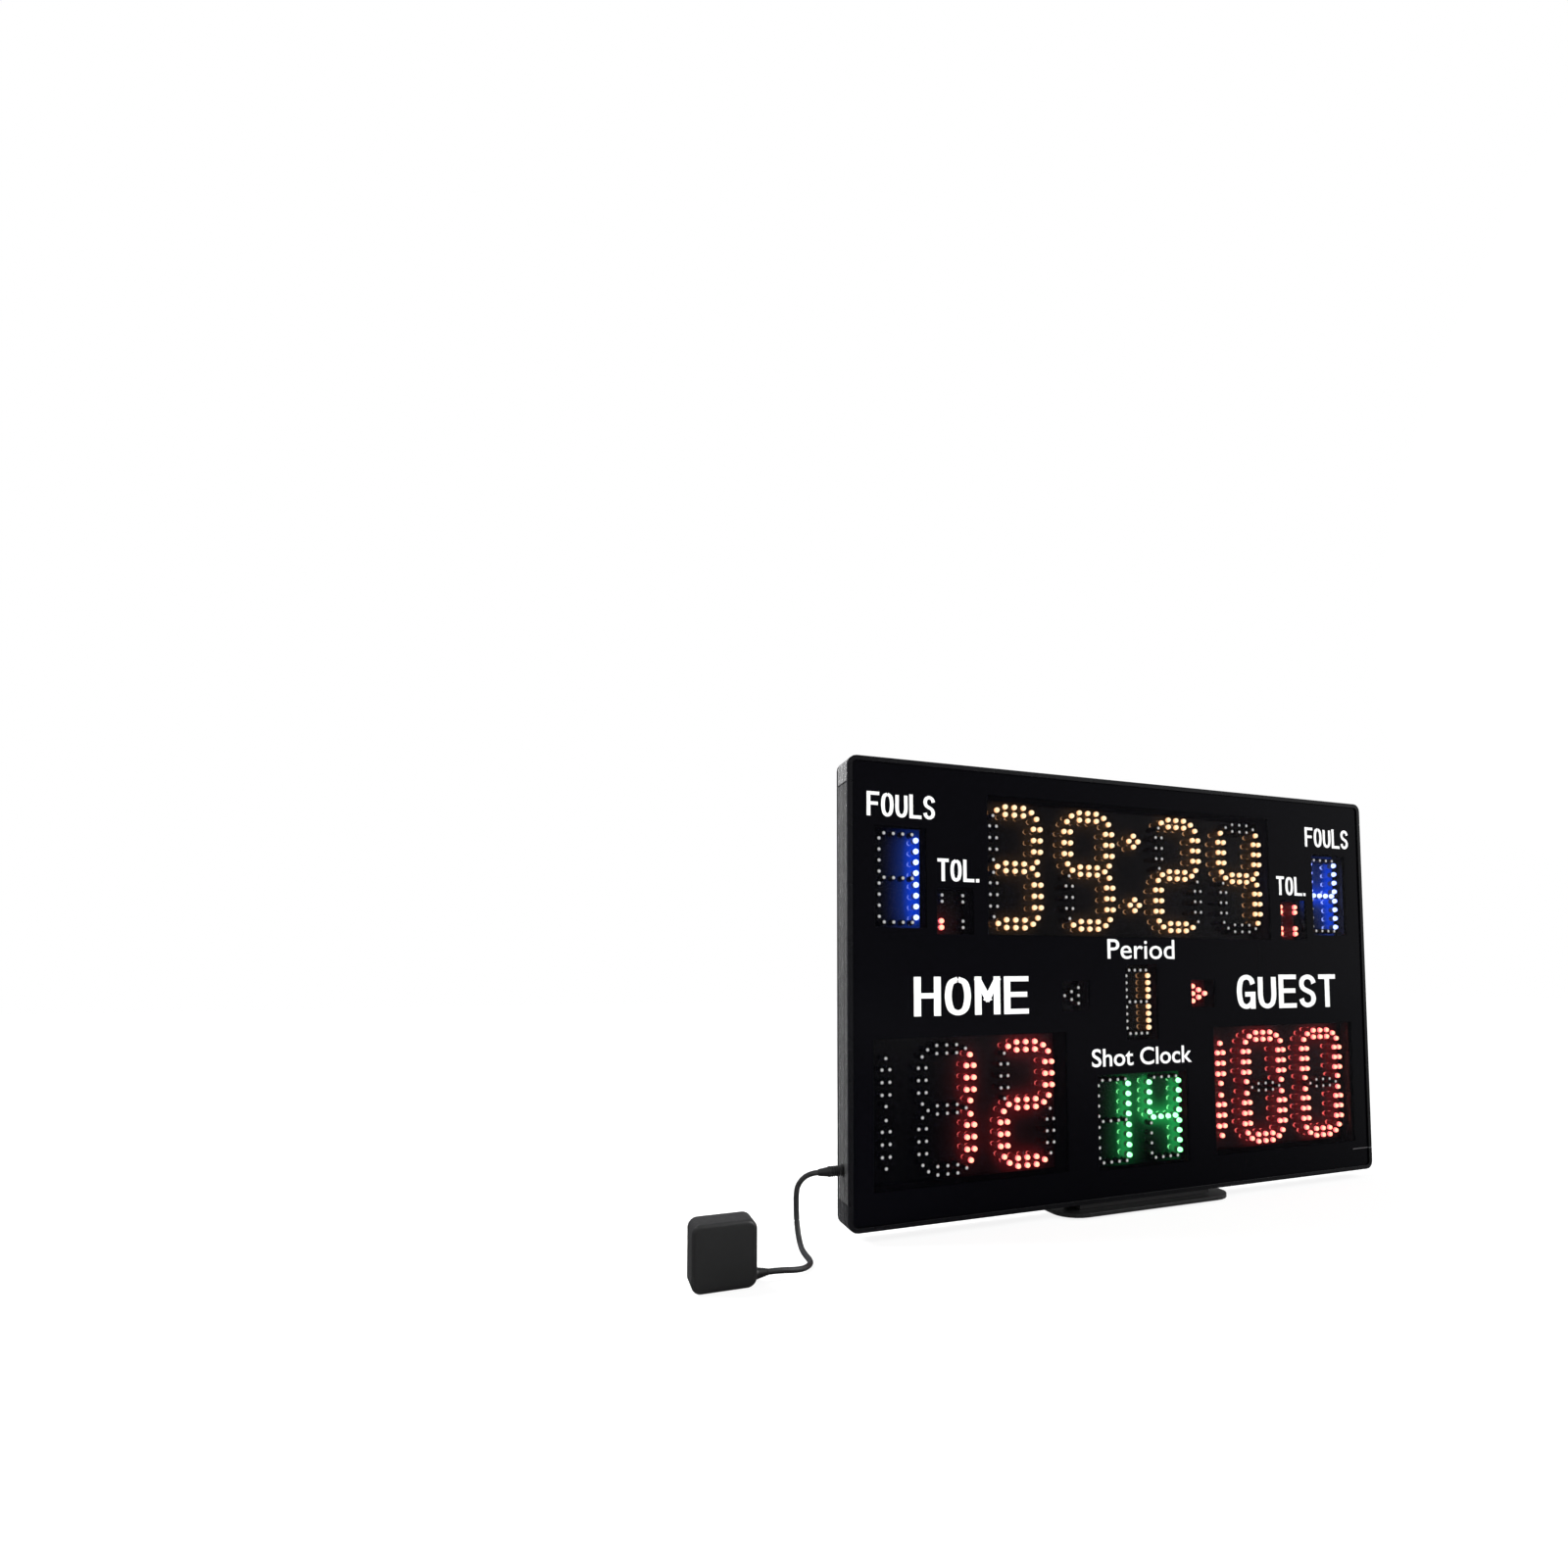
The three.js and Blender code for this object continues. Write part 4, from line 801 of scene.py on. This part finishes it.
def lamp_plate(name, low, high, face_y, lit, finish, spacing=2.0, reaches=(6.5, 14.0), gain=0.6):
    """A board as a grid over its front, folded back at its edge. Its painted glow, an emission that
    stands in for the lamps' halo, is the mean, over a short and a long reach, of 1 less e to the
    minus gain times the sum, over the lit lamps, of bell curves of the distance to each."""
    columns, rows = (int((high[axis] - low[axis]) / spacing) + 2 for axis in (0, 2))
    x, z = np.meshgrid(np.linspace(low[0], high[0], columns), np.linspace(low[2], high[2], rows))
    front = np.stack([x, np.full_like(x, face_y), z], -1).reshape(-1, 3)
    place = np.arange(rows * columns).reshape(rows, columns)
    quads = np.stack([place[:-1, :-1], place[:-1, 1:], place[1:, 1:], place[1:, :-1]], -1).reshape(-1, 4)
    rim = np.concatenate([place[0, :-1], place[:-1, -1], place[-1, :0:-1], place[:0:-1, 0]])
    back = len(front) + np.arange(len(rim))
    sides = np.stack([np.roll(rim, -1), rim, back, np.roll(back, -1)], -1)
    points = np.vstack([front, front[rim] + (0, board_thickness, 0)])
    mesh = bpy.data.meshes.new(name)
    mesh.from_pydata((points * MM).tolist(), [], quads.tolist() + sides.tolist() + [back[::-1].tolist()])
    lit = np.array(lit, float).reshape(-1, 2)
    away = (points[:, None, 0] - lit[:, 0]) ** 2 + (points[:, None, 2] - board_bottom - lit[:, 1]) ** 2
    bells = [np.exp(-away / reach**2).sum(1) for reach in reaches]
    glow = (1 - np.exp(-gain * np.array(bells))).mean(0).astype(np.float32)
    mesh.attributes.new("glow", "FLOAT", "POINT").data.foreach_set("value", glow)
    return finished(name, mesh, finish, smooth=False)


for node, (colour, lamps) in lamp_boards.items():
    low, high = (np.array(corner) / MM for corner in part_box(node))
    face_y = low[1] + lens_length
    lit_places = [(x, z) for x, z, shines in lamps if shines]
    board = lamp_plate(f"{node}_plate", low, high, face_y, lit_places, painted_glow_mask[colour])
    pieces = [board]
    for lit, finish in ((True, lit_lens[colour]), (False, dull_lens)):
        places = [(x, z) for x, z, shines in lamps if shines == lit]
        if places:
            word = "lit" if lit else "unlit"
            pieces.append(lenses(f"{node}_{word}_lamps", places, finish, face_y))
    for piece in pieces:
        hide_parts(node)

# Rear panel: sheet steel in a fine dark texture paint, let in behind the frame's rear lip.
paint = Finish("texture_paint")
speckle = paint.noise(0.9, detail=6, roughness=0.75)
paint.color(paint.mix(speckle.step(0.3, 0.7), (0.015, 0.015, 0.016), (0.042, 0.042, 0.044)))
paint.roughness(0.45 + 0.2 * speckle)
paint.relief(speckle, 0.12)
paint.on("rear_panel")

# Panel screws: black zinc pan heads with a cross recess, sixteen round the panel.
zinc = Finish("black_zinc", base_color=(0.012, 0.012, 0.013), metallic=0.6)
zinc.roughness(0.3 + 0.2 * zinc.noise(1.0))
head_radius, head_rise, side_share = 4.0, 2.4, 0.45
head_rings = [1, 1, 0.97, 0.9, 0.78, 0.66, 0.58, 0.5, 0.42, 0.34, 0.26, 0.2, 0.14, 0.08, 0.02]
cross_depth, cross_width, cross_reach, wall_slope, end_slope = 1.3, 0.55, 2.1, 0.25, 0.5


def screw_head(name, place, finish, around=48):
    """A pan head. Its height is its rise, times the root of 1 less the sixth power of 0.97 of the share
    of its radius, times 1 less 0.12 of that share squared. The first two rings are its straight side,
    and the recess is cut from the rest with sloping walls."""
    share = np.array(head_rings)
    angle = np.linspace(0, 2 * np.pi, around, endpoint=False)
    across = head_radius * share[:, None] * np.cos(angle)
    up = head_radius * share[:, None] * np.sin(angle)
    dome = head_rise * np.sqrt(1 - (share * 0.97) ** 6)[:, None] * (1 - 0.12 * share[:, None] ** 2)
    height = np.broadcast_to(dome, across.shape).copy()
    height[0] = 0
    height[1] = head_rise * side_share
    near = np.minimum(np.abs(across), np.abs(up))
    far = np.maximum(np.abs(across), np.abs(up))
    wall = np.clip((cross_width - near) / wall_slope, 0, 1)
    height -= cross_depth * wall * np.clip((cross_reach - far) / end_slope, 0, 1)
    return skinned(name, np.stack([across, height, -up], -1) + np.asarray(place), finish)


for number in range(1, 17):
    low, high = (np.array(corner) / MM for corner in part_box(f"panel_screw_{number}"))
    place = ((low[0] + high[0]) / 2, high[1] - head_rise, (low[2] + high[2]) / 2)
    head = screw_head(f"panel_screw_{number}_head", place, zinc)
    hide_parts(f"panel_screw_{number}")
zinc.on(*(f"housing_screw_{number}" for number in range(1, 5)), "foot_screw_1", "foot_screw_2")

# Control housing, its cover and its latch: grained dark-grey plastic, with softened edges. The sloped
# flank with the louvres is coloured darker as painted shade. The horn behind them and the two
# buttons are smooth mouldings.
grained = Finish("grained_plastic")
grain = grained.noise(1.2, detail=6, roughness=0.65)
flank_x, flank_y, flank_z, flank_half = 95.2, 1.6, 204.6, 82.6
housing_x, housing_y, housing_z = grained.axes()
flank = (housing_x > flank_x) * ((housing_z - flank_z).size() < flank_half) * (housing_y > flank_y)
plain = grained.mix(grain.step(0.3, 0.7), (0.032, 0.032, 0.0335), (0.048, 0.048, 0.05))
# The flank is coloured darker as painted shade.
flank_painted_shade = grained.mix(grain.step(0.3, 0.7), (0.006, 0.0062, 0.0066), (0.011, 0.0113, 0.012))
grained.color(grained.mix(flank, plain, flank_painted_shade))
grained.roughness(0.5 + 0.15 * grain)
grained.relief(grain, 0.04, 0.5)
grained.on("control_housing", "battery_cover", "cover_latch")
moulding.on("horn", "power_button", "setting_button")

# Battery pack and control board, which only the openings of the housing show.
wrap = Finish("shrink_wrap", base_color=(0.008, 0.022, 0.055), roughness=0.35)
wrap.relief(wrap.noise(0.15, (1, 1, 6)), 0.1)
wrap.on("battery_pack")
green_mask = Finish("green_solder_mask", base_color=(0.02, 0.12, 0.06), roughness=0.3)
green_mask.relief(green_mask.noise(0.5), 0.05)
green_mask.on("control_board")

# Table foot: a powder-coated steel plate and riser, on two rubber strips.
powder = Finish("powder_coat", base_color=(0.005, 0.005, 0.0055))
powder.roughness(0.34 + 0.12 * powder.noise(1.5))
powder.relief(powder.noise(2.0, detail=4), 0.02, 0.5)
powder.on("foot_plate", "foot_riser")
strip_rubber = Finish("strip_rubber", base_color=(0.015, 0.015, 0.015), roughness=0.8)
strip_rubber.relief(strip_rubber.noise(2.0), 0.03)
strip_rubber.on("left_rubber_strip", "right_rubber_strip")

# Floor and light: a white floor that runs out of sight, and a room. To the camera both are white. In
# reflections the floor goes from dark on the left to bright on the right, and the room is brighter to
# the front and to the top, with a pale wall on the right.
floor_half, floor_z = 8.0, -0.0003
floor_points = [(-floor_half, -floor_half), (floor_half, -floor_half)]
floor_points += [(floor_half, floor_half), (-floor_half, floor_half)]
floor_mesh = bpy.data.meshes.new("floor")
floor_mesh.from_pydata([(x, y, floor_z) for x, y in floor_points], [], [(0, 1, 2, 3)])
floor = bpy.data.objects.new("floor", floor_mesh)
scene.collection.objects.link(floor)
floor_level, mirror_low, mirror_rise, mirror_left, mirror_right = 1.06, 0.12, 0.7, -300, 900
lit_share, fade_start, fade_end = 0.82, 0.5, 1.6
white = Finish("white_floor", base_color=(0.85, 0.85, 0.85), roughness=0.9, specular_ior_level=0.0)
sighted = white.node("LightPath")
mirrored = white.node("LightPath", output="Is Glossy Ray")
mirror_level = mirror_low + mirror_rise * white.axes()[0].step(mirror_left, mirror_right)
light = floor_level - mirrored * (floor_level - mirror_level)
floor_light = white.node("Emission", None, {"Color": light})
away = white.node("VectorMath", {"operation": "LENGTH"}, {0: white.place()}, "Value")
direct = sighted * (lit_share + (1 - lit_share) * away.step(fade_start, fade_end))
floor_shade = Socket(white, white.shader.outputs[0])
mixed = white.node("MixShader", None, {0: direct.most(mirrored), 1: floor_shade, 2: floor_light})
white.plug(white.tree.nodes["Material Output"].inputs[0], mixed)
floor_mesh.materials.append(white.material)

world = bpy.data.worlds.new("pale_room")
scene.world = world
world.use_nodes = True
room = Tree(world.node_tree)
room_level, room_slopes = 0.27, (0.08, -0.14, 0.3)
room_wall, wall_start, wall_end = 0.7, 0.4, 0.8
room_way = room.node("TexCoord", output="Generated")
ways = [room.node("SeparateXYZ", None, {0: room_way}, axis) for axis in range(3)]
level = room_level + room_wall * ways[0].step(wall_start, wall_end)
for way, slope in zip(ways, room_slopes):
    level = level + slope * way
seen = room.node("LightPath", output="Is Camera Ray")
background = room.tree.nodes["Background"]
room.plug(background.inputs["Color"], (1, 1, 1))
room.plug(background.inputs["Strength"], level.most(seen))


def lamp(name, place, aim, size, power, mirrored):
    """A square soft light at a place, turned to its aim."""
    data = bpy.data.lights.new(name, "AREA")
    data.size = size
    data.energy = power
    made = bpy.data.objects.new(name, data)
    made.location = place
    made.rotation_euler = (Vector(aim) - Vector(place)).to_track_quat("-Z", "Y").to_euler()
    made.visible_glossy = mirrored
    scene.collection.objects.link(made)


lamp("front_key", (1.6, -1.5, 2.0), (0, 0, 0.2), 1.4, 44, True)
lamp("back_key", (-1.0, 0.6, 0.9), (-0.1, 0, 0.2), 0.8, 90, False)

scene.view_settings.view_transform = "Standard"
